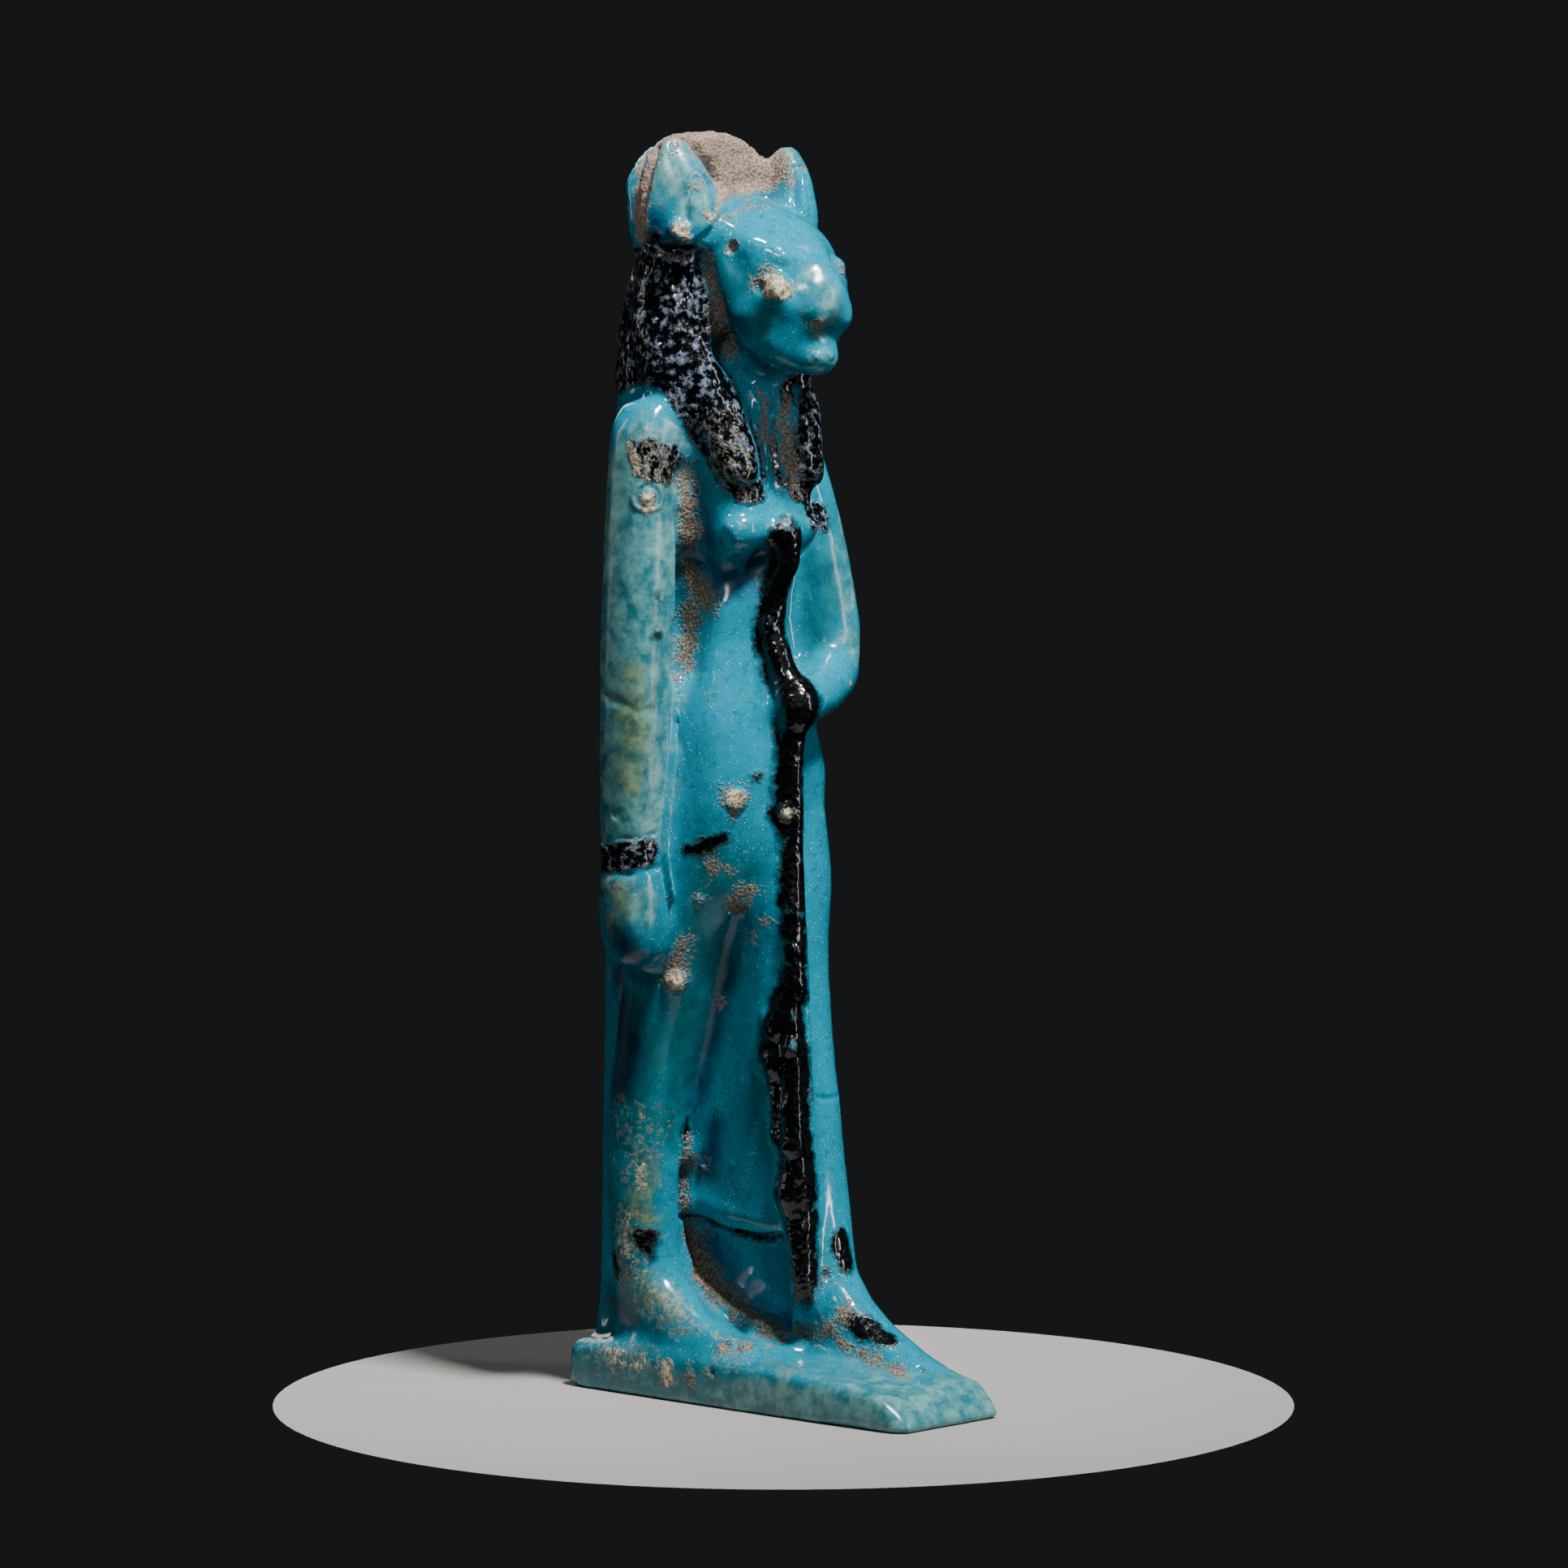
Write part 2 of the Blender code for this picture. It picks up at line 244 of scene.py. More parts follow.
def pits(*marks: tuple[float, float, float, float]) -> tuple[Knob, ...]:
    """Returns a round pit for each mark's pixel x and y, radius and depth."""
    return tuple(Knob((x, y), radius, -depth, Profile.PIT) for x, y, radius, depth in marks)


def eased(share: np.ndarray) -> np.ndarray:
    """Turns shares from 0 to 1 into shares that start and end gently."""
    return share * share * (3.0 - 2.0 * share)


def inside_path(points: np.ndarray, path: list[np.ndarray], radii: list[float]) -> np.ndarray:
    """Measures how far inside a round-ended path each point is.

    Args:
        points: rows of coordinates.
        path: the path's corners, one or more.
        radii: the path's radius at each corner.

    Returns:
        The depth inside the path, negative outside it.
    """
    best = radii[0] - np.linalg.norm(points - path[0], axis=1)
    for a, b, start, end in zip(path, path[1:], radii, radii[1:]):
        run = b - a
        share = np.clip((points - a) @ run / max(float(run @ run), 1e-9), 0.0, 1.0)
        gap = np.linalg.norm(points - a - share[:, None] * run, axis=1)
        best = np.maximum(best, start + (end - start) * share - gap)
    return best


def inside_outline(points: np.ndarray, outline: tuple[Pixel, ...]) -> np.ndarray:
    """Measures how far inside a closed outline each flat point is.

    Args:
        points: rows of x and y.
        outline: the outline's corners.

    Returns:
        The depth inside the outline, negative outside it.
    """
    corners = [np.array(c, float) for c in outline]
    closed = corners + corners[:1]
    depth = -inside_path(points, closed, [0.0] * len(closed))
    crossings = np.zeros(len(points), bool)
    for a, b in zip(closed, closed[1:]):
        spans = (a[1] > points[:, 1]) != (b[1] > points[:, 1])
        rise = b[1] - a[1] if b[1] != a[1] else 1e-9
        crossings ^= spans & (points[:, 0] < a[0] + (b[0] - a[0]) * (points[:, 1] - a[1]) / rise)
    return np.where(crossings, depth, -depth)


@dataclass
class Skin:
    """The figure's surface: where its points are in mm, which way they face, what lies on them.

    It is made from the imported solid's object, which is left as it is.

    Grain is the width of its faces. Swell back is what each round of smoothing is undone by, so
    that the figure keeps its size. Turn fade is how quickly a mark dies away on what turns from
    the camera, and wrap is how far a stain goes on past the outline, both for marks by outline.
    """

    node: bpy.types.Object
    lens: Lens
    merge_mm: float = 0.001
    grain: float = 0.27
    facet_rounds: int = 14
    swell_back: float = 1.02
    hollow_rounds: int = 24
    carve_fade: float = 3.0
    turn_fade: float = 6.0
    wrap: float = 0.6

    def __post_init__(self) -> None:
        """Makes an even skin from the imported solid's surface."""
        self.mesh = self._even_mesh()
        self._read()
        self._take_off_facets()
        self._write_points()
        self._read()

    def _even_mesh(self) -> bpy.types.Mesh:
        """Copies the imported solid's mesh, merged, rounded once and remade in even faces.

        Returns:
            The new mesh.
        """
        merged = bmesh.new()
        merged.from_mesh(self.node.data)
        bmesh.ops.remove_doubles(merged, verts=merged.verts, dist=self.merge_mm * MM)
        rough = bpy.data.meshes.new("rough_skin")
        merged.to_mesh(rough)
        merged.free()
        holder = bpy.data.objects.new("rough_skin", rough)
        bpy.context.scene.collection.objects.link(holder)
        rounded = holder.modifiers.new("round", "SUBSURF")
        rounded.levels = rounded.render_levels = 1
        even = holder.modifiers.new("even", "REMESH")
        even.mode = "VOXEL"
        even.voxel_size = self.grain * MM
        graph = bpy.context.evaluated_depsgraph_get()
        mesh = bpy.data.meshes.new_from_object(holder.evaluated_get(graph))
        bpy.data.objects.remove(holder)
        bpy.data.meshes.remove(rough)
        return mesh

    def _read(self) -> None:
        """Reads the mesh's points, edges, faces and normals, and makes the tree for sight lines."""
        mesh = self.mesh
        self.points = np.empty(len(mesh.vertices) * 3)
        mesh.vertices.foreach_get("co", self.points)
        self.points = self.points.reshape(-1, 3) / MM
        self.edges = np.empty(len(mesh.edges) * 2, np.int64)
        mesh.edges.foreach_get("vertices", self.edges)
        self.edges = self.edges.reshape(-1, 2)
        self._read_normals()
        self._grow_tree()
        self.layers = {layer: np.full(len(self.points), -FAR_MM) for layer in Layer}

    def _grow_tree(self) -> None:
        """Makes the tree that lines of sight are cast against."""
        self.tree = BVHTree.FromPolygons([Vector(p) for p in self.points],
                                         [list(f.vertices) for f in self.mesh.polygons])

    def _read_normals(self) -> None:
        """Reads the direction in which each point of the skin faces."""
        self.normals = np.empty(len(self.mesh.vertices) * 3)
        self.mesh.vertex_normals.foreach_get("vector", self.normals)
        self.normals = self.normals.reshape(-1, 3)

    def _write_points(self) -> None:
        """Writes the points back into the mesh, in metres, none of them under the floor."""
        self.points[:, 2] = np.maximum(self.points[:, 2], 0.0)
        self.mesh.vertices.foreach_set("co", (self.points * MM).astype(np.float32).ravel())
        self.mesh.update()

    def averaged(self, values: np.ndarray, rounds: int) -> np.ndarray:
        """Averages values with those of the neighbouring points.

        Args:
            values: rows of values, one for each point.
            rounds: how many times to average.

        Returns:
            The averaged rows.
        """
        a, b = self.edges.T
        count = len(self.points)
        shares = np.bincount(a, minlength=count) + np.bincount(b, minlength=count)
        result = values.copy()
        for _ in range(rounds):
            for column in range(values.shape[1]):
                own = result[:, column]
                total = np.bincount(a, own[b], count) + np.bincount(b, own[a], count)
                result[:, column] = 0.5 * own + 0.5 * total / shares
        return result

    def _take_off_facets(self) -> None:
        """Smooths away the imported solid's facets, and swells each round back to its own size."""
        for _ in range(self.facet_rounds):
            smoother = self.averaged(self.points, 1)
            pull = self.averaged(smoother, 1) - smoother
            self.points = smoother - self.swell_back * pull

    def place(self, pixel: Pixel) -> tuple[np.ndarray, np.ndarray]:
        """Drops a pixel of the photograph onto the skin.

        Args:
            pixel: the pixel's x and y.

        Returns:
            The point of the skin in mm, and its normal.
        """
        eye, sight = self.lens.ray(pixel)
        point, normal, _, _ = self.tree.ray_cast(eye, sight)
        if point is None:
            beside = eye + sight * self.lens.distance
            point, normal, _, _ = self.tree.find_nearest(beside)
        return np.array(point), np.array(normal)

    def refine(self, marks: list[tuple[np.ndarray, float]]) -> None:
        """Halves the faces near the small marks.

        Args:
            marks: each mark's place and the radius round it that needs finer faces, in mm.
        """
        near = np.zeros(len(self.points), bool)
        for centre, reach in marks:
            near |= np.linalg.norm(self.points - centre, axis=1) < reach
        finer = bmesh.new()
        finer.from_mesh(self.mesh)
        finer.verts.ensure_lookup_table()
        edges = [e for e in finer.edges
                 if near[e.verts[0].index] and near[e.verts[1].index]]
        bmesh.ops.subdivide_edges(finer, edges=edges, cuts=1, use_grid_fill=True)
        finer.to_mesh(self.mesh)
        finer.free()
        self._read()

    def on_near_side(self, rows: np.ndarray) -> np.ndarray:
        """Returns rows, mirrored where their points are on the side that the photograph hides."""
        return np.where(self.points[:, :1] > 0.0, rows * MIRROR, rows)

    def toward_camera(self) -> np.ndarray:
        """Returns 1 where the skin faces the camera, fading to 0 where it turns away."""
        return np.clip(self.carve_fade * self.normals @ self.lens.back(), 0.0, 1.0)

    def begin_paint(self) -> None:
        """Takes the carved shape's pixels, hollows and places, which the layers are laid by."""
        self._write_points()
        self._read_normals()
        self._grow_tree()
        self.pixels = self.lens.project(self.points)
        self.side_pixels = self.lens.project(self.on_near_side(self.points))
        self.facing = self.normals @ self.lens.back()
        self.side_facing = self.on_near_side(self.normals) @ self.lens.back()
        self.body = self.points - BODY_ORIGIN_MM
        broad = self.averaged(self.points, self.hollow_rounds)
        self.hollow = np.einsum("ij,ij->i", broad - self.points, self.normals)

    def seen_inside(self, outline: tuple[Pixel, ...]) -> np.ndarray:
        """Measures how far inside an outline of pixels each point that faces the camera is.

        Args:
            outline: the outline's corners in the photograph.

        Returns:
            The depth in mm, negative outside the outline and on what faces away.
        """
        depth = inside_outline(self.pixels, outline) / self.lens.px_per_mm
        return np.minimum(depth, self.facing * self.turn_fade + self.wrap)

    def lay(self, layer: Layer, depth: np.ndarray) -> None:
        """Lays a layer wherever it isn't thicker already. Depth is in mm inside its edge."""
        self.layers[layer] = np.maximum(self.layers[layer], np.clip(depth, -FAR_MM, FAR_MM))

    def clear(self, layer: Layer, depth: np.ndarray) -> None:
        """Takes a layer off a place. Depth is in mm inside the place's edge."""
        self.layers[layer] = np.minimum(self.layers[layer], np.clip(-depth, -FAR_MM, FAR_MM))

    def uneven(self, size: float, seed: float, octaves: int = 3) -> np.ndarray:
        """Makes an uneven field over the skin.

        Args:
            size: the width of its patches in mm.
            seed: where in the noise it starts.
            octaves: how many finer fields are added.

        Returns:
            A value of about -1 to 1 for each point.
        """
        start = Vector((seed, 2 * seed, 3 * seed))
        return np.array([noise.fractal(Vector(p) / size + start, 1.0, 2.0, octaves)
                         for p in self.points])

    def finish_mesh(self) -> bpy.types.Mesh:
        """Finishes the mesh, with its layers as attributes and smooth shading.

        Returns:
            The mesh.
        """
        self._write_points()
        for layer, depth in self.layers.items():
            attribute = self.mesh.attributes.new(layer.value, "FLOAT", "POINT")
            attribute.data.foreach_set("value", depth.astype(np.float32))
        attribute = self.mesh.attributes.new("hollow", "FLOAT", "POINT")
        attribute.data.foreach_set("value", self.hollow.astype(np.float32))
        self.mesh.shade_smooth()
        return self.mesh


@dataclass
class Region:
    """A part of the figure: the low relief on it, and what lies on its glaze.

    Beside is how far round a small mark the skin is made finer, in mm, and step is how closely
    in pixels a line is followed for that. Reach is how many of its widths a line's sides run to,
    and lump is the width of a rough knob's lumps as a share of its radius.
    """

    name: str
    fills: tuple[Fill, ...] = ()
    plates: tuple[Plate, ...] = ()
    knobs: tuple[Knob, ...] = ()
    lines: tuple[Line, ...] = ()
    stains: tuple[Stain, ...] = ()
    beside_knob: float = 0.4
    beside_line: float = 0.5
    step: float = 12.0
    reach: float = 2.5
    lump: float = 0.45

    def fine_marks(self, skin: Skin) -> list[tuple[np.ndarray, float]]:
        """Lists the small marks, where the skin is made finer.

        Args:
            skin: the figure's surface.

        Returns:
            Each mark's place and how far round it the skin is made finer, in mm.
        """
        marks = [(skin.place(k.at)[0], k.radius + self.beside_knob) for k in self.knobs]
        for line in self.lines:
            for a, b in zip(line.path, line.path[1:]):
                steps = max(2, int(math.dist(a, b) / self.step))
                for i in range(steps + 1):
                    share = i / steps
                    pixel = (a[0] + (b[0] - a[0]) * share, a[1] + (b[1] - a[1]) * share)
                    marks.append((skin.place(pixel)[0], line.width + self.beside_line))
        return marks

    def fill(self, skin: Skin, filled: np.ndarray) -> None:
        """Rounds the corners that glaze filled.

        Args:
            skin: the figure's surface.
            filled: its points, each averaged with those around it.
        """
        for corner in self.fills:
            path = [skin.place(pixel)[0] for pixel in corner.path]
            depth = inside_path(skin.points, path, [corner.width] * len(path))
            share = np.clip(2.0 * depth / corner.width, 0.0, 1.0)
            skin.points += eased(share)[:, None] * (filled - skin.points)

    def carve(self, skin: Skin) -> None:
        """Raises the region's plates, knobs and ridges and sinks its pits and grooves.

        Args:
            skin: the figure's surface.
        """
        moved = np.zeros_like(skin.points)
        for plate in self.plates:
            depth = inside_outline(skin.lens.project(skin.points), plate.outline)
            share = np.clip(depth / skin.lens.px_per_mm / plate.edge + 0.5, 0.0, 1.0)
            rise = eased(share) * skin.toward_camera() * plate.height
            moved += rise[:, None] * skin.normals
        for knob in self.knobs:
            centre, normal = skin.place(knob.at)
            gap = np.linalg.norm(skin.points - centre, axis=1) / knob.radius
            near = np.where(gap < 1.0)[0]
            rise = (1.0 - gap[near] ** 2) ** knob.profile.value * knob.height
            if knob.rough:
                size = self.lump * knob.radius
                lumps = [noise.noise(Vector(p) / size) for p in skin.points[near]]
                rise *= 1.0 + knob.rough * np.array(lumps)
            moved[near] += rise[:, None] * normal
        for line in self.lines:
            path = [skin.place(pixel)[0] for pixel in line.path]
            gap = -inside_path(skin.points, path, [0.0] * len(path)) / line.width
            near = np.where(gap < self.reach)[0]
            rise = np.exp(-gap[near] ** 2) * line.height
            moved[near] += rise[:, None] * skin.normals[near]
        skin.points += moved

    def paint(self, skin: Skin) -> None:
        """Lays the region's stains on the skin.

        Args:
            skin: the figure's surface.
        """
        for stain in self.stains:
            path, radii = [], []
            for x, y, radius in stain.dabs:
                point, _ = skin.place((x, y))
                path.append(point - skin.lens.back() * stain.sink)
                radii.append(math.hypot(radius / skin.lens.px_per_mm, stain.sink))
            depth = inside_path(skin.points, path, radii)
            if stain.thin:
                depth = np.minimum(depth, 0.0) - stain.thin
            skin.lay(stain.layer, depth)


@dataclass
class BrokenDisc(Region):
    """The stub of the sun disc behind the ears. Its top and front show the bare sandy core."""

    name: str = "broken_disc"
    core_outline: tuple[Pixel, ...] = (
        (830, 150), (895, 150), (925, 165), (942, 195), (958, 184), (973, 190), (971, 206),
        (966, 222), (956, 232), (930, 238), (905, 238), (893, 248), (885, 258), (868, 250),
        (830, 230), (800, 292), (786, 300), (781, 262), (786, 232), (798, 200), (812, 176),
    )
    near_ear: tuple[Pixel, ...] = (
        (796, 292), (797, 262), (803, 226), (812, 188), (820, 174), (834, 172), (849, 182),
        (863, 199), (876, 221), (884, 242), (884, 262), (874, 280), (852, 300), (815, 304),
    )
    break_height: float = 70.2
    break_roughness: float = 0.16
    break_grain: float = 0.9
    break_from: float = 66.5
    break_front: float = -1.6
    lowest: float = 62.5
    core_front: float = -1.2
    rim_behind: float = 1.5

    def carve(self, skin: Skin) -> None:
        """Roughens the break.

        Args:
            skin: the figure's surface.
        """
        super().carve(skin)
        body = skin.points - BODY_ORIGIN_MM
        share = np.clip((body[:, 2] - self.break_from) / 1.5, 0.0, 1.0)
        share *= np.clip((body[:, 1] - self.break_front) / 0.6, 0.0, 1.0)
        grit = skin.uneven(self.break_grain, 11.0) * self.break_roughness * share
        skin.points += grit[:, None] * skin.normals

    def paint(self, skin: Skin) -> None:
        """Bares the core on the front and the top of the break.

        Args:
            skin: the figure's surface.
        """
        super().paint(skin)
        x, y, z = skin.body.T
        front = np.minimum(skin.seen_inside(self.core_outline), (z - self.lowest) * 2.0)
        top = np.minimum((skin.normals[:, 2] - 0.35) * 4.0, z - self.break_height + np.abs(x) * 0.5)
        top = np.minimum(top, np.minimum(y - self.core_front, self.rim_behind - y) * 2.0)
        skin.lay(Layer.CORE, np.maximum(front, top))
        skin.clear(Layer.CORE, skin.seen_inside(self.near_ear))


@dataclass
class Wig(Region):
    """The long black wig: its helmet, its fall behind, and a lappet on each side of the chest."""

    name: str = "wig"
    outline: tuple[Pixel, ...] = (
        (740, 306), (785, 302), (815, 316), (848, 308), (862, 306), (852, 335), (856, 370),
        (868, 402), (884, 436), (905, 474), (925, 515), (938, 552), (943, 590), (943, 620),
        (928, 624), (908, 618), (888, 600), (872, 572), (852, 540), (836, 512), (820, 488),
        (800, 474), (778, 476), (755, 492), (740, 500),
    )
    side_low: float = 49.8
    back_low: float = 51.5
    back_high: float = 64.6
    back_front: float = -1.0
    pillar_half_width: float = 2.6
    pillar_top: float = 57.0
    lump_size: float = 1.3
    lump_height: float = 0.09
    lump_fade: float = 0.6

    def carve(self, skin: Skin) -> None:
        """Roughens the wig, whose thick black glaze is lumpy.

        Args:
            skin: the figure's surface.
        """
        super().carve(skin)
        pixels = skin.lens.project(skin.on_near_side(skin.points))
        depth = inside_outline(pixels, self.outline) / skin.lens.px_per_mm
        share = np.clip(depth / self.lump_fade, 0.0, 1.0)
        lumps = skin.uneven(self.lump_size, 5.0) * self.lump_height * share
        skin.points += lumps[:, None] * skin.normals

    def paint(self, skin: Skin) -> None:
        """Blackens the wig by its outline from the side, and by height behind.

        Args:
            skin: the figure's surface.
        """
        x, y, z = skin.body.T
        side = inside_outline(skin.side_pixels, self.outline) / skin.lens.px_per_mm
        side = np.minimum(side, 3.0 * (z - self.side_low))
        behind = np.minimum(z - self.back_low, self.back_high - z)
        behind = np.minimum(behind, 2.0 * (y - self.back_front))
        off_pillar = np.maximum(np.abs(x) - self.pillar_half_width, z - self.pillar_top)
        behind = np.minimum(behind, off_pillar)
        toward = np.clip(0.5 + 2.5 * skin.side_facing, 0.0, 1.0)
        depth = toward * side + (1.0 - toward) * behind
        skin.lay(Layer.WIG, skin.averaged(depth[:, None], 3)[:, 0])
        super().paint(skin)


@dataclass
class Sceptre(Region):
    """The papyrus staff, thickly coated with black glaze that ran over the dress beside it."""

    name: str = "sceptre"
    course: tuple[Dab, ...] = (
        (968, 652, 12), (970, 668, 25), (972, 688, 24), (966, 705, 22), (957, 725, 18),
        (954, 745, 17), (950, 766, 19), (948, 785, 19), (955, 805, 20), (962, 825, 21),
        (978, 850, 27), (986, 868, 27), (982, 885, 25), (976, 905, 20), (973, 935, 15),
        (972, 965, 17), (970, 1000, 21), (974, 1030, 16), (976, 1066, 16), (977, 1137, 15),
        (979, 1166, 13), (981, 1194, 12), (978, 1215, 15), (970, 1237, 21), (964, 1266, 28),
        (962, 1290, 30), (966, 1310, 32), (971, 1340, 30), (974, 1370, 27), (970, 1395, 29),
        (977, 1415, 24), (980, 1445, 27), (979, 1475, 29), (983, 1505, 22), (989, 1520, 16),
        (990, 1550, 17), (992, 1580, 15), (992, 1600, 10),
    )
    lump_size: float = 2.0
    lump_height: float = 0.16
    swell: float = 0.16
    swell_fade: float = 0.7
    wrap_depth: float = 0.5

    def carve(self, skin: Skin) -> None:
        """Swells the coated staff in uneven lumps.

        Args:
            skin: the figure's surface.
        """
        super().carve(skin)
        pixels = skin.lens.project(skin.points)
        path = [np.array((x, y), float) for x, y, _ in self.course]
        depth = inside_path(pixels, path, [radius for _, _, radius in self.course])
        share = np.clip(depth / skin.lens.px_per_mm / self.swell_fade, 0.0, 1.0)
        lumps = self.lump_height * skin.uneven(self.lump_size, 21.0, 2)
        rise = share * skin.toward_camera() * (self.swell + lumps)
        skin.points += rise[:, None] * skin.normals

    def paint(self, skin: Skin) -> None:
        """Blackens the staff along its course."""
        self.stains += (Stain(Layer.BLACK, self.course, self.wrap_depth),)
        super().paint(skin)


@dataclass
class Plinth(Region):
    """The slab underfoot. Its sides and front are worn pale, and its top keeps its bright glaze."""

    name: str = "plinth"
    worn_below: float = -0.35
    front_wear: float = -17.0
    fresh_behind: float = -9.0
    fresh_over: float = 6.0
    fresh_loss: float = 2.8
    highest: float = 0.3

    def paint(self, skin: Skin) -> None:
        """Wears the plinth's sides and front edge.

        Args:
            skin: the figure's surface.
        """
        super().paint(skin)
        y, z = skin.body[:, 1], skin.body[:, 2]
        sides = (self.worn_below - z) * 1.2
        sides -= self.fresh_loss * np.clip((y - self.fresh_behind) / self.fresh_over, 0.0, 1.0)
        front = (self.front_wear - y) * 0.6
        worn = np.where(z < self.highest, np.maximum(sides, front), -FAR_MM)
        skin.lay(Layer.WORN_AND_HIGHLIGHT, worn)


@dataclass
class RightArm(Region):
    """The hanging arm, whose outer side is worn to a pale, greyish green."""

    name: str = "right_arm"
    worn_outline: tuple[Pixel, ...] = (
        (735, 560), (790, 516), (846, 540), (842, 640), (838, 760), (830, 880), (818, 1000),
        (812, 1040), (735, 1040),
    )
    inner_x: float = -4.0

    def paint(self, skin: Skin) -> None:
        """Wears the arm's outer side.

        Args:
            skin: the figure's surface.
        """
        depth = inside_outline(skin.pixels, self.worn_outline) / skin.lens.px_per_mm
        depth = np.minimum(depth, 2.0 * (self.inner_x - skin.body[:, 0]))
        skin.lay(Layer.WORN_AND_HIGHLIGHT, depth)
        super().paint(skin)


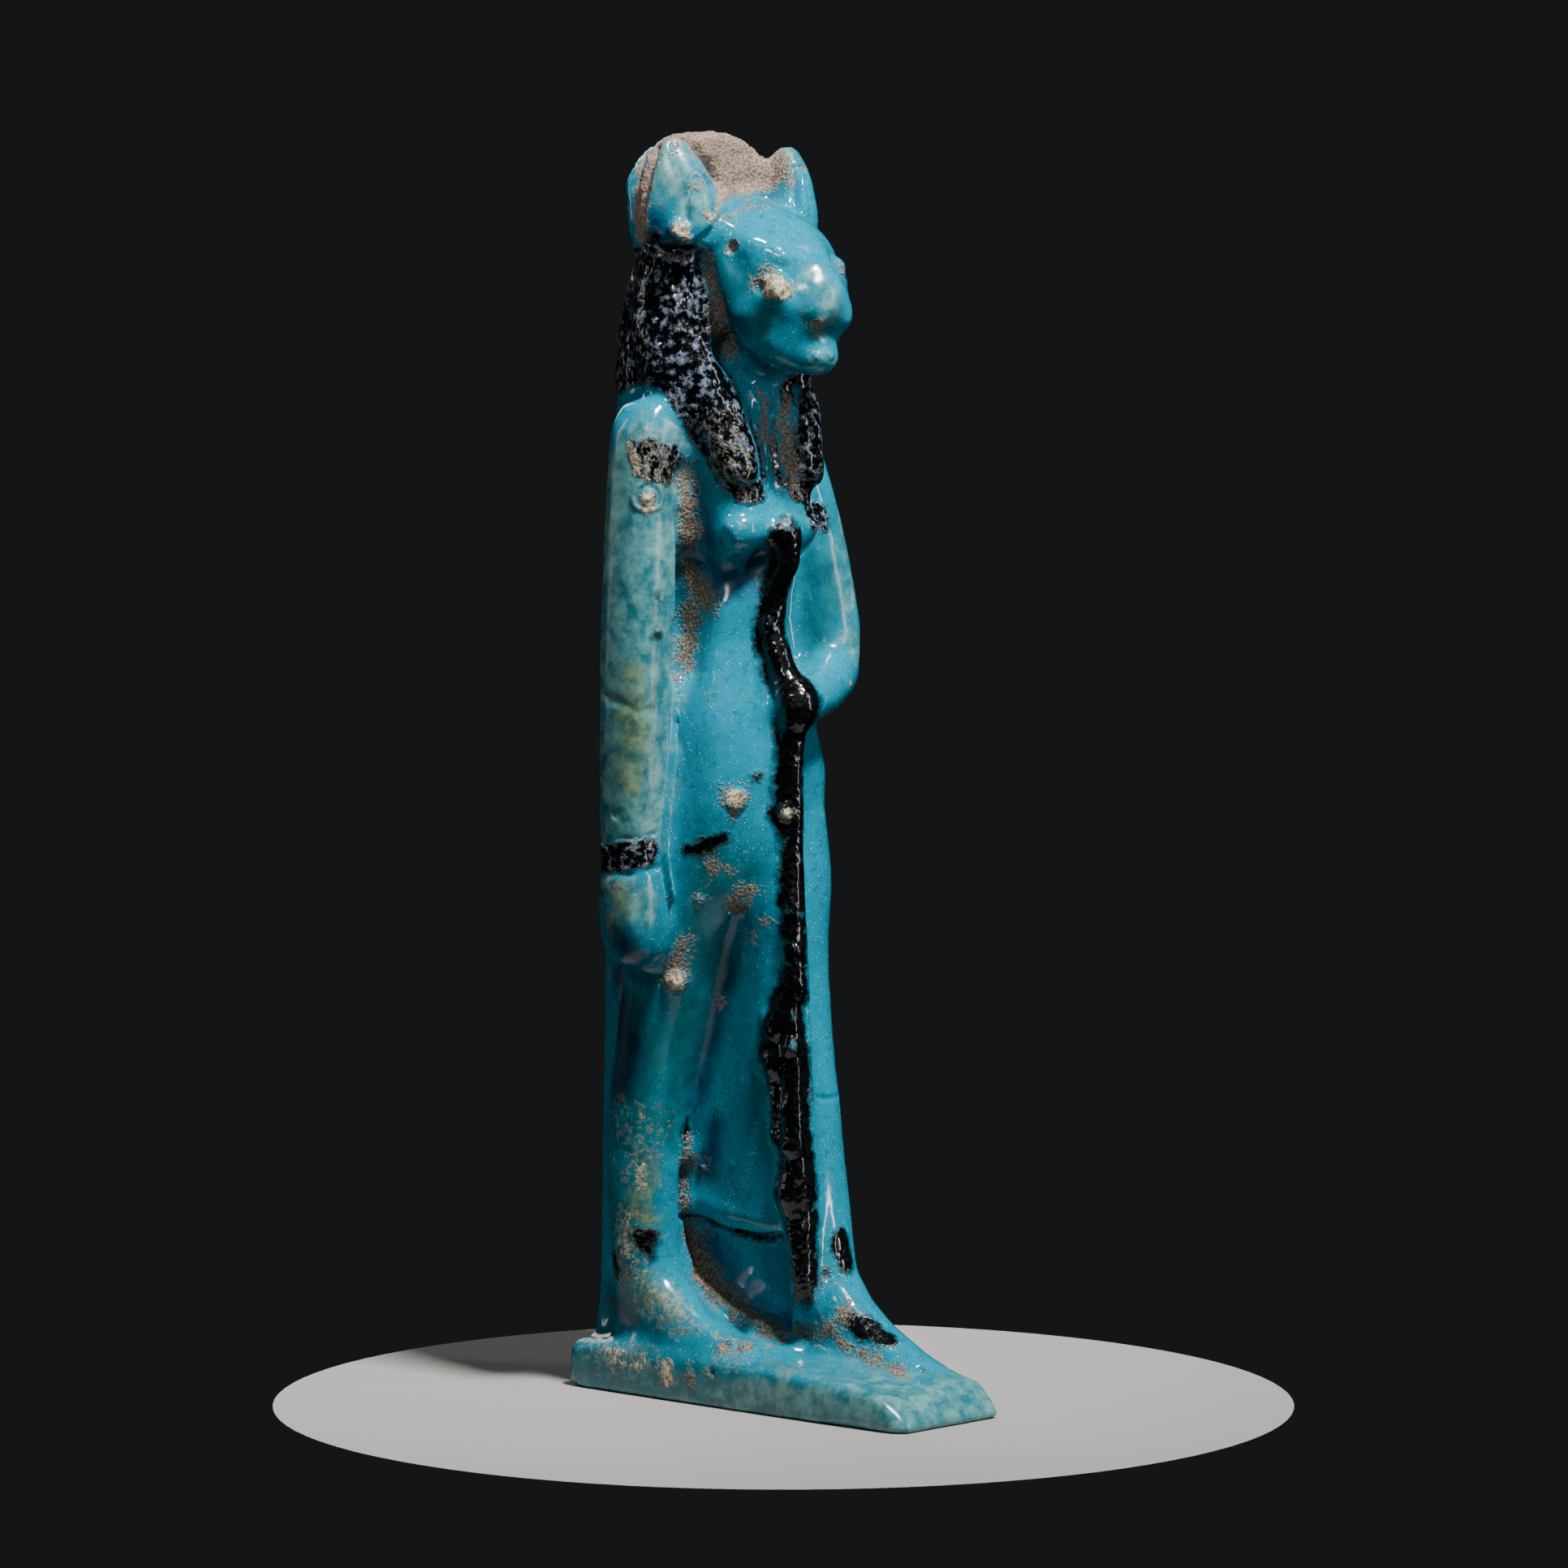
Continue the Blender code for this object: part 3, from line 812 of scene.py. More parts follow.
def head_regions() -> list[Region]:
    """Lists the marks of one stretch of the figure.

    Returns:
        The disc, ears, face and wig.
    """
    disc = BrokenDisc(stains=(
        Stain(Layer.SOIL, ((905, 238, 7), (916, 243, 6))),
        Stain(Layer.SOIL, ((931, 253, 5),)),
    ))
    ears = Region(
        name="ears",
        fills=(Fill(((844, 306), (862, 298), (880, 284), (890, 270)), 1.0),),
        plates=(Plate(BrokenDisc.near_ear, 0.45, 0.6),),
        lines=(
            Line(((793, 268), (799, 226), (809, 184), (822, 170), (838, 170), (854, 182),
                  (868, 200), (881, 222), (889, 244)), 0.3, -0.4),
            Line(((846, 272), (845, 245), (855, 222)), 0.22, -0.22),
            Line(((874, 268), (874, 245), (864, 224)), 0.22, -0.22),
            Line(((798, 296), (815, 308), (845, 306)), 0.45, -0.5),
            Line(((884, 242), (893, 262)), 0.3, -0.15),
            Line(((978, 206), (977, 232), (980, 256)), 0.25, -0.2),
            Line(((988, 222), (989, 244), (992, 262)), 0.22, 0.16),
        ),
        knobs=(
            Knob((838, 282), 0.62, 0.5, Profile.KNOB, 0.5),
            Knob((843, 296), 0.5, 0.35, Profile.KNOB, 0.5),
            *pits((829, 184, 0.28, 0.15), (861, 229, 0.3, 0.22), (990, 207, 0.42, 0.28)),
        ),
        stains=(
            # Pale worn glaze on the near ear's upper part, partly painted highlight where the light
            # falls on it.
            Stain(Layer.WORN_AND_HIGHLIGHT, ((835, 192, 24), (838, 222, 32), (856, 248, 20), (872, 258, 12))),
            Stain(Layer.WORN_AND_HIGHLIGHT, ((966, 192, 12), (990, 200, 10))),
            Stain(Layer.CRUST, ((838, 281, 9), (844, 296, 8))),
            # Painted shadow: deep blue and black where the near ear overhangs the wig.
            Stain(Layer.POOL_AND_SHADE, ((806, 268, 14), (812, 290, 18), (830, 305, 14))),
            Stain(Layer.BLACK, ((806, 292, 7), (818, 305, 9), (834, 312, 8))),
            Stain(Layer.SOIL, ((958, 196, 7), (968, 206, 6), (974, 222, 6))),
            Stain(Layer.CRUST, ((870, 262, 4), (882, 270, 3))),
            *spots(Layer.SOIL, (829, 184, 3), (861, 229, 3), (990, 207, 4)),
        ),
    )
    face = Region(
        name="face",
        plates=(
            Plate(((900, 322), (945, 322), (985, 336), (980, 362), (950, 380), (900, 370)),
                  -0.35, 2.0),
            Plate(((992, 346), (1012, 336), (1060, 350), (1060, 400), (1024, 396), (998, 384)),
                  0.3, 1.6),
        ),
        lines=(
            Line(((864, 318), (870, 345), (878, 378), (888, 408), (896, 436)), 0.6, -0.65),
            Line(((893, 276), (930, 296), (962, 312), (990, 322)), 0.6, 0.12),
            Line(((896, 428), (914, 456), (945, 474), (980, 478), (1010, 474)), 0.8, -0.55),
            Line(((925, 400), (955, 405), (985, 402)), 1.2, -0.25),
            Line(((1002, 400), (1018, 411), (1038, 424)), 0.8, -0.18),
        ),
        knobs=(
            Knob((955, 352), 1.2, 0.62, Profile.MOUND, 0.3),
            Knob((1032, 328), 0.9, 0.4, Profile.MOUND, 0.3),
            *pits((932, 352, 0.5, 0.2), (902, 305, 0.45, 0.35), (887, 265, 0.3, 0.2),
                  (932, 255, 0.3, 0.2)),
            Knob((888, 282), 1.3, 0.3, Profile.MOUND, 0.25),
            Knob((921, 298), 1.15, 0.26, Profile.MOUND, 0.25),
            Knob((866, 300), 0.6, 0.12, Profile.MOUND, 0.4),
            Knob((965, 318), 0.5, 0.1),
            Knob((1007, 439), 0.35, 0.12),
            Knob((1024, 438), 0.35, 0.12),
        ),
        stains=(
            Stain(Layer.CRUST, ((946, 350, 15), (958, 353, 17), (968, 357, 11))),
            Stain(Layer.SOIL, ((932, 350, 3), (940, 333, 3), (955, 329, 2))),
            *spots(Layer.SOIL, (902, 305, 6), (887, 265, 4), (1008, 403, 3), (1038, 330, 6),
                   (922, 258, 3), (940, 250, 3)),
            Stain(Layer.OCHRE, ((1010, 399, 8), (1014, 408, 6))),
            Stain(Layer.WIG, ((854, 322, 11), (858, 345, 12), (862, 378, 13), (872, 408, 11))),
            Stain(Layer.SOIL, ((876, 320, 6), (880, 346, 9), (886, 376, 11), (889, 402, 10),
                               (890, 420, 10), (894, 436, 6))),
            # Painted highlight: pale worn glaze on the lit muzzle and on the chin.
            Stain(Layer.WORN_AND_HIGHLIGHT, ((1002, 346, 16), (1018, 366, 18), (1034, 384, 12))),
            Stain(Layer.WORN_AND_HIGHLIGHT, ((1006, 440, 9), (1022, 445, 9))),
            # Painted shade: green glaze in the eye socket and on the lower cheek, and deep blue
            # along the cheek's back edge and under the jaw.
            Stain(Layer.TEAL_AND_SHADE, ((885, 330, 16), (905, 360, 22), (925, 345, 12))),
            Stain(Layer.TEAL_AND_SHADE, ((925, 390, 22), (955, 400, 18))),
            Stain(Layer.POOL_AND_SHADE, ((892, 346, 8), (899, 380, 12), (906, 404, 10))),
            Stain(Layer.POOL_AND_SHADE, ((912, 424, 8), (930, 440, 8), (960, 455, 7), (990, 463, 5))),
            Stain(Layer.OCHRE, ((905, 268, 7),)),
            Stain(Layer.TEAL_AND_SHADE, ((1000, 400, 10), (1020, 415, 8))),
        ),
    )
    wig = Wig(
        lines=(
            Line(((850, 338), (847, 362), (853, 390), (863, 408)), 0.2, 0.2),
            Line(((934, 500), (941, 545), (944, 600)), 0.2, 0.16),
        ),
        stains=(
            Stain(Layer.WIG, ((798, 302, 9), (820, 312, 9), (850, 306, 6))),
            Stain(Layer.LACE, ((880, 520, 20), (905, 570, 24), (925, 605, 18)), thin=0.14),
            Stain(Layer.CRUST, ((895, 545, 18), (915, 590, 18)), thin=0.26),
            Stain(Layer.LACE, ((860, 430, 20), (840, 370, 18)), thin=0.3),
            Stain(Layer.WIG, ((1006, 472, 12), (998, 505, 18), (996, 540, 20), (998, 575, 20),
                              (1000, 605, 17), (1007, 635, 12), (1011, 648, 7)), 0.3),
            Stain(Layer.WIG, ((994, 612, 18), (998, 630, 16), (1002, 645, 10)), 0.3),
            Stain(Layer.SOIL, ((938, 488, 5), (942, 520, 5), (946, 545, 4))),
            Stain(Layer.SOIL, ((966, 492, 5), (967, 525, 7), (970, 555, 8), (975, 585, 8),
                               (980, 605, 5))),
        ),
    )
    return [disc, ears, face, wig]


def body_regions() -> list[Region]:
    """Lists the marks of one stretch of the figure.

    Returns:
        The torso, the arms and the sceptre.
    """
    torso = Region(
        name="torso",
        fills=(
            Fill(((868, 622), (900, 612), (935, 612), (965, 612), (995, 615)), 1.7),
            Fill(((870, 640), (878, 668)), 1.4),
        ),
        lines=(
            Line(((850, 590), (856, 640), (862, 690), (862, 730), (856, 770), (846, 820)),
                 1.1, -0.6),
            Line(((858, 704), (886, 716), (916, 710), (940, 692)), 1.0, -0.6),
        ),
        stains=(
            Stain(Layer.SOIL, ((844, 575, 6), (845, 610, 9), (846, 640, 12), (850, 665, 12))),
            Stain(Layer.SOIL, ((846, 700, 8), (858, 728, 16), (872, 742, 14))),
            Stain(Layer.SOIL, ((850, 755, 14), (848, 785, 12), (842, 815, 8), (838, 835, 5))),
            # Painted shade: deep blue in the recess between arm and torso, and as the shadow under
            # the breast.
            Stain(Layer.POOL_AND_SHADE, ((858, 600, 12), (868, 640, 18), (875, 670, 16))),
            Stain(Layer.POOL_AND_SHADE, ((860, 690, 18), (885, 706, 22), (910, 712, 22), (935, 704, 14))),
            Stain(Layer.POOL_AND_SHADE, ((852, 690, 10), (870, 700, 14))),
            Stain(Layer.LACE, ((850, 850, 14), (868, 862, 10)), thin=0.2),
            Stain(Layer.LACE, ((905, 648, 12), (922, 658, 12)), thin=0.2),
        ),
    )
    right_arm = RightArm(
        lines=(
            Line(((746, 858), (768, 868), (786, 878), (802, 874)), 0.3, -0.08),
            Line(((833, 560), (833, 640), (829, 760)), 0.16, 0.1),
            Line(((831, 850), (826, 930), (820, 1000), (817, 1050), (826, 1105)), 0.17, 0.5),
            Line(((798, 594), (812, 600), (817, 612), (812, 625), (798, 630), (784, 625),
                  (779, 612), (784, 600), (798, 594)), 0.14, 0.12),
            Line(((740, 1034), (775, 1034), (806, 1028)), 0.16, -0.12),
            Line(((740, 1078), (775, 1078), (808, 1070)), 0.2, -0.16),
        ),
        knobs=(
            Knob((798, 612), 0.55, 0.22, Profile.KNOB, 0.6),
            Knob((812, 780), 0.35, 0.15),
            Knob((758, 1003), 0.3, -0.15, Profile.PIT),
        ),
        stains=(
            Stain(Layer.WIG, ((784, 556, 15), (802, 566, 27), (824, 572, 25))),
            Stain(Layer.TEAL_AND_SHADE, ((760, 640, 16), (770, 600, 14))),
            Stain(Layer.TEAL_AND_SHADE, ((780, 900, 22), (785, 960, 24), (780, 1010, 18))),
            Stain(Layer.TEAL_AND_SHADE, ((790, 1150, 20), (800, 1120, 14))),
            Stain(Layer.LACE, ((784, 556, 18), (806, 570, 24), (822, 590, 20)), thin=0.08),
            Stain(Layer.LACE, ((765, 1055, 20), (795, 1052, 18)), thin=0.3),
            Stain(Layer.WORN_AND_HIGHLIGHT, ((748, 1056, 10), (775, 1054, 12), (798, 1050, 10)), thin=0.1),
            Stain(Layer.LACE, ((755, 1085, 16), (775, 1096, 14)), thin=0.2),
            # Painted shadow: deep blue under the fist.
            Stain(Layer.POOL_AND_SHADE, ((760, 1150, 12), (775, 1172, 14), (800, 1180, 12))),
            Stain(Layer.WIG, ((742, 1058, 17), (772, 1056, 18), (798, 1050, 17))),
            Stain(Layer.CRUST, ((798, 618, 12),)),
            Stain(Layer.CRUST, ((776, 552, 6), (786, 580, 5)), thin=0.02),
            *spots(Layer.BLACK, (812, 735, 5), (812, 780, 7)),
            Stain(Layer.WORN_AND_HIGHLIGHT, ((765, 1100, 20), (785, 1120, 20))),
            Stain(Layer.OCHRE, ((752, 1100, 14), (768, 1108, 14), (755, 1135, 12))),
            Stain(Layer.BLACK, ((744, 1100, 8), (748, 1135, 8)), thin=0.1),
            Stain(Layer.OCHRE, ((780, 838, 20), (776, 960, 16))),
        ),
    )
    left_arm = Region(
        name="left_arm",
        stains=(
            # Painted shade on the arm's hollow inner face, and a painted highlight along its right
            # edge.
            Stain(Layer.TEAL_AND_SHADE, ((1025, 640, 14), (1020, 720, 26), (1015, 780, 24))),
            Stain(Layer.WORN_AND_HIGHLIGHT, ((1035, 640, 10), (1045, 720, 10), (1052, 800, 10))),
            Stain(Layer.CRUST, ((1048, 842, 5),)),
        ),
    )
    sceptre = Sceptre(
        fills=(
            Fill(((962, 1232), (952, 1290), (954, 1350), (960, 1400), (966, 1450), (974, 1492)),
                 1.5),
            Fill(((994, 1240), (996, 1300), (1000, 1400), (1004, 1490)), 0.8),
        ),
        knobs=(
            Knob((968, 1002), 0.7, 0.35, Profile.MOUND, 0.5),
            Knob((972, 1415), 0.75, 0.28, Profile.MOUND, 0.3),
            Knob((976, 1290), 0.7, 0.3, Profile.MOUND, 0.2),
            Knob((982, 1172), 0.6, 0.2, Profile.MOUND, 0.2),
            Knob((945, 770), 0.6, 0.25),
            Knob((956, 1262), 1.3, 0.5, Profile.MOUND, 0.3),
            Knob((952, 1310), 1.5, 0.5, Profile.MOUND, 0.3),
            Knob((958, 1362), 1.4, 0.4, Profile.MOUND, 0.3),
            Knob((966, 1470), 1.4, 0.4, Profile.MOUND, 0.3),
        ),
        stains=(
            Stain(Layer.CRUST, ((968, 1004, 8),)),
            Stain(Layer.BLACK, ((982, 1228, 9), (982, 1250, 13), (984, 1284, 12)), 0.2),
        ),
    )
    return [torso, right_arm, left_arm, sceptre]


def lower_regions() -> list[Region]:
    """Lists the marks of one stretch of the figure.

    Returns:
        The dress, the legs and feet, and the plinth.
    """
    dress = Region(
        name="dress",
        fills=(
            Fill(((935, 1050), (912, 1110), (900, 1160), (890, 1215), (876, 1270), (860, 1330),
                  (850, 1385)), 3.2),
            Fill(((848, 1560), (872, 1600), (905, 1632), (940, 1652), (968, 1655)), 1.8),
        ),
        plates=(
            Plate(((846, 1502), (868, 1504), (900, 1518), (936, 1527), (964, 1525), (974, 1560),
                   (974, 1640), (900, 1612), (858, 1570)), -0.7, 0.25),
        ),
        lines=(
            Line(((907, 1135), (895, 1210), (880, 1265), (861, 1328), (847, 1392)), 0.5, -0.2),
            Line(((843, 1440), (842, 1500), (850, 1545)), 0.3, -0.35),
            Line(((848, 1500), (868, 1504), (900, 1518), (936, 1526), (962, 1524)), 0.26, -0.5),
            Line(((850, 1478), (872, 1482), (904, 1496), (936, 1506)), 0.5, 0.08),
        ),
        knobs=(
            Knob((907, 986), 0.75, 0.28, Profile.KNOB, 0.35),
            Knob((833, 1210), 0.8, 0.45, Profile.KNOB, 0.3),
            Knob((863, 1110), 0.4, 0.15, Profile.KNOB, 0.5),
            Knob((866, 1438), 0.26, 0.15),
            Knob((903, 1435), 0.2, 0.1),
            Knob((872, 1528), 0.26, -0.15, Profile.PIT),
        ),
        stains=(
            Stain(Layer.BLACK, ((846, 1048, 9), (868, 1041, 11), (890, 1034, 10))),
            Stain(Layer.BLACK, ((932, 955, 7),)),
            *spots(Layer.CRUST, (907, 986, 13), (833, 1211, 10)),
            Stain(Layer.SOIL, ((842, 1160, 8), (834, 1182, 10), (833, 1208, 17))),
            Stain(Layer.SOIL, ((907, 986, 18),), thin=0.02),
            Stain(Layer.SOIL, ((878, 1062, 3), (882, 1070, 4))),
            *spots(Layer.SOIL, (897, 1072, 3), (863, 1108, 5), (940, 1135, 4), (925, 1153, 4),
                   (889, 1237, 4), (866, 1438, 4)),
            Stain(Layer.SOIL, ((908, 1118, 8), (914, 1102, 9), (930, 1094, 5))),
            Stain(Layer.TEAL_AND_SHADE, ((870, 1080, 24), (860, 1140, 24), (870, 1200, 22))),
            Stain(Layer.TEAL_AND_SHADE, ((860, 1010, 14), (880, 1070, 20), (930, 1070, 14))),
            # Painted shadow: black under the overhanging hem.
            Stain(Layer.BLACK, ((850, 1497, 4), (870, 1502, 5), (900, 1516, 6), (936, 1525, 6),
                                (960, 1524, 4))),
            Stain(Layer.LACE, ((880, 1060, 22), (930, 1040, 12)), thin=0.3),
            # Painted shade: deep blue along the crease beside the right leg and on the panel
            # between the legs.
            Stain(Layer.POOL_AND_SHADE, ((909, 1130, 4), (896, 1210, 9), (881, 1265, 10),
                               (864, 1328, 11), (852, 1392, 10))),
            Stain(Layer.POOL_AND_SHADE, ((880, 1380, 14), (875, 1440, 16))),
            # Painted shade: green glaze down the right leg's shaded side.
            Stain(Layer.TEAL_AND_SHADE, ((850, 1250, 26), (835, 1330, 24), (825, 1400, 20))),
            # Painted shade: deep blue on the panel under the hem.
            Stain(Layer.POOL_AND_SHADE, ((880, 1535, 14), (905, 1570, 12), (940, 1600, 10))),
            Stain(Layer.BLACK, ((846, 1380, 5), (842, 1430, 6), (840, 1480, 7))),
            Stain(Layer.SOIL, ((846, 1400, 3), (844, 1430, 5), (841, 1465, 4), (842, 1492, 7))),
            Stain(Layer.SOIL, ((850, 1515, 12), (853, 1540, 16), (862, 1562, 18), (878, 1584, 18),
                               (900, 1604, 14), (925, 1622, 12), (948, 1636, 11), (966, 1646, 8))),
        ),
    )
    legs = Region(
        name="legs",
        lines=(
            Line(((1008, 1352), (1022, 1354), (1034, 1350)), 0.12, -0.14),
        ),
        knobs=(
            *pits((1018, 1571, 0.36, 0.28), (894, 1656, 0.4, 0.2), (912, 1663, 0.35, 0.18),
                  (1135, 1687, 0.36, 0.25), (1062, 1690, 0.32, 0.18)),
        ),
        stains=(
            Stain(Layer.BLACK, ((1036, 1518, 10), (1036, 1535, 17), (1042, 1554, 14))),
            Stain(Layer.BLACK, ((1048, 1624, 12), (1066, 1634, 18), (1088, 1647, 14),
                                (1101, 1655, 7))),
            Stain(Layer.BLACK, ((782, 1518, 8), (796, 1530, 16), (800, 1548, 10))),
            Stain(Layer.BLACK, ((758, 1552, 9), (762, 1568, 10))),
            # Painted shadow: deep blue where the fist's shadow falls on the leg, and between the
            # foot and the plinth.
            Stain(Layer.POOL_AND_SHADE, ((766, 1205, 20), (770, 1250, 28), (770, 1310, 24), (762, 1350, 12))),
            Stain(Layer.POOL_AND_SHADE, ((752, 1600, 12), (775, 1625, 12), (810, 1640, 8))),
            # Painted shade: green glaze down the legs' shaded left side.
            Stain(Layer.TEAL_AND_SHADE, ((790, 1240, 28), (795, 1320, 32), (785, 1400, 36))),
            Stain(Layer.TEAL_AND_SHADE, ((775, 1480, 32), (775, 1560, 30), (770, 1610, 30))),
            Stain(Layer.LACE, ((770, 1375, 26), (790, 1400, 30), (815, 1380, 20)), thin=0.12),
            Stain(Layer.LACE, ((768, 1430, 22), (785, 1455, 18)), thin=0.14),
            Stain(Layer.LACE, ((772, 1498, 16), (768, 1526, 16), (778, 1560, 20), (775, 1588, 18)),
                  thin=0.06),
            Stain(Layer.LACE, ((782, 1592, 18), (802, 1606, 20), (822, 1622, 19), (838, 1636, 16)),
                  thin=0.04),
            Stain(Layer.CRUST, ((770, 1498, 8), (766, 1526, 8), (776, 1566, 12)), thin=0.12),
            Stain(Layer.CRUST, ((790, 1440, 5), (788, 1462, 5)), thin=0.02),
            Stain(Layer.LACE, ((862, 1640, 12), (905, 1655, 14), (950, 1660, 12)), thin=0.12),
            Stain(Layer.OCHRE, ((800, 1440, 16), (790, 1480, 14), (800, 1505, 10))),
            Stain(Layer.OCHRE, ((800, 1590, 18), (830, 1618, 18))),
            Stain(Layer.SOIL, ((890, 1662, 5), (898, 1650, 4))),
            Stain(Layer.SOIL, ((908, 1665, 5), (922, 1661, 4))),
            Stain(Layer.SOIL, ((986, 1640, 5), (1002, 1642, 7), (1020, 1640, 8), (1036, 1622, 8),
                               (1046, 1608, 5))),
            Stain(Layer.SOIL, ((1036, 1652, 5), (1060, 1666, 5), (1085, 1680, 6), (1102, 1690, 7),
                               (1118, 1697, 6))),
            Stain(Layer.SOIL, ((1018, 1571, 4),)),
        ),
    )
    plinth = Plinth(
        knobs=(
            *pits((877, 1690, 0.3, 0.2), (925, 1685, 0.2, 0.12)),
        ),
        stains=(
            Stain(Layer.LACE, ((712, 1658, 12), (740, 1664, 14), (770, 1672, 16), (800, 1674, 16)),
                  thin=0.08),
            Stain(Layer.CRUST, ((742, 1668, 6), (765, 1674, 8), (790, 1680, 8)), thin=0.03),
            Stain(Layer.CRUST, ((822, 1684, 9), (822, 1700, 10))),
            Stain(Layer.LACE, ((742, 1690, 10), (822, 1692, 17)), thin=0.1),
            Stain(Layer.LACE, ((890, 1672, 14), (906, 1682, 12), (940, 1676, 12), (985, 1688, 12)),
                  thin=0.1),
            Stain(Layer.LACE, ((872, 1712, 16), (880, 1690, 12)), thin=0.2),
            # Painted shade: green glaze darkening the plinth's side.
            Stain(Layer.TEAL_AND_SHADE, ((720, 1680, 30), (800, 1700, 34), (880, 1715, 30), (960, 1728, 20))),
            Stain(Layer.SOIL, ((850, 1684, 4), (852, 1700, 5))),
            Stain(Layer.SOIL, ((877, 1690, 3),)),
        ),
    )
    return [dress, legs, plinth]


def linear(colour: str) -> tuple[float, float, float, float]:
    """Turns an sRGB hex colour into a linear one.

    Args:
        colour: the colour, such as "#0393b1".

    Returns:
        Its linear red, green and blue, and a full alpha.
    """
    parts = [int(colour[i:i + 2], 16) / 255 for i in (1, 3, 5)]
    straight = [p / 12.92 if p <= 0.04045 else ((p + 0.055) / 1.055) ** 2.4 for p in parts]
    return (straight[0], straight[1], straight[2], 1.0)


def add_node(tree: bpy.types.NodeTree, kind: str, settings: dict | None = None,
             inputs: dict | None = None) -> bpy.types.Node:
    """Adds a node.

    Args:
        tree: the tree that gets it.
        kind: the node's type name.
        settings: the node's own settings, by name.
        inputs: a value, or the socket to link, for each input by its name or number.

    Returns:
        The node.
    """
    node = tree.nodes.new(kind)
    for name, value in (settings or {}).items():
        setattr(node, name, value)
    for key, value in (inputs or {}).items():
        if isinstance(value, bpy.types.NodeSocket):
            tree.links.new(value, node.inputs[key])
        else:
            node.inputs[key].default_value = value
    return node


@dataclass(frozen=True)
class Coat:
    """How a layer looks where it lies. Sizes are in mm.

    Ragged is how far its edge wanders, patch is how long its bays and tongues are, and soft is how
    gently it fades there. Grain is how far single grains stray over its edge. Speck is the size of
    the mottling of its two tones, detail how far that goes on into finer specks, and spread is
    where in the noise the second tone begins and is full.
    """

    layer: Layer
    tones: tuple[str, str]
    roughness: float
    ragged: float
    patch: float
    soft: float
    speck: float
    relief: float = 0.0
    grit: float = 0.0
    cover: float = 1.0
    grain: float = 0.0
    spread: tuple[float, float] = (0.4, 0.66)
    detail: float = 3.0


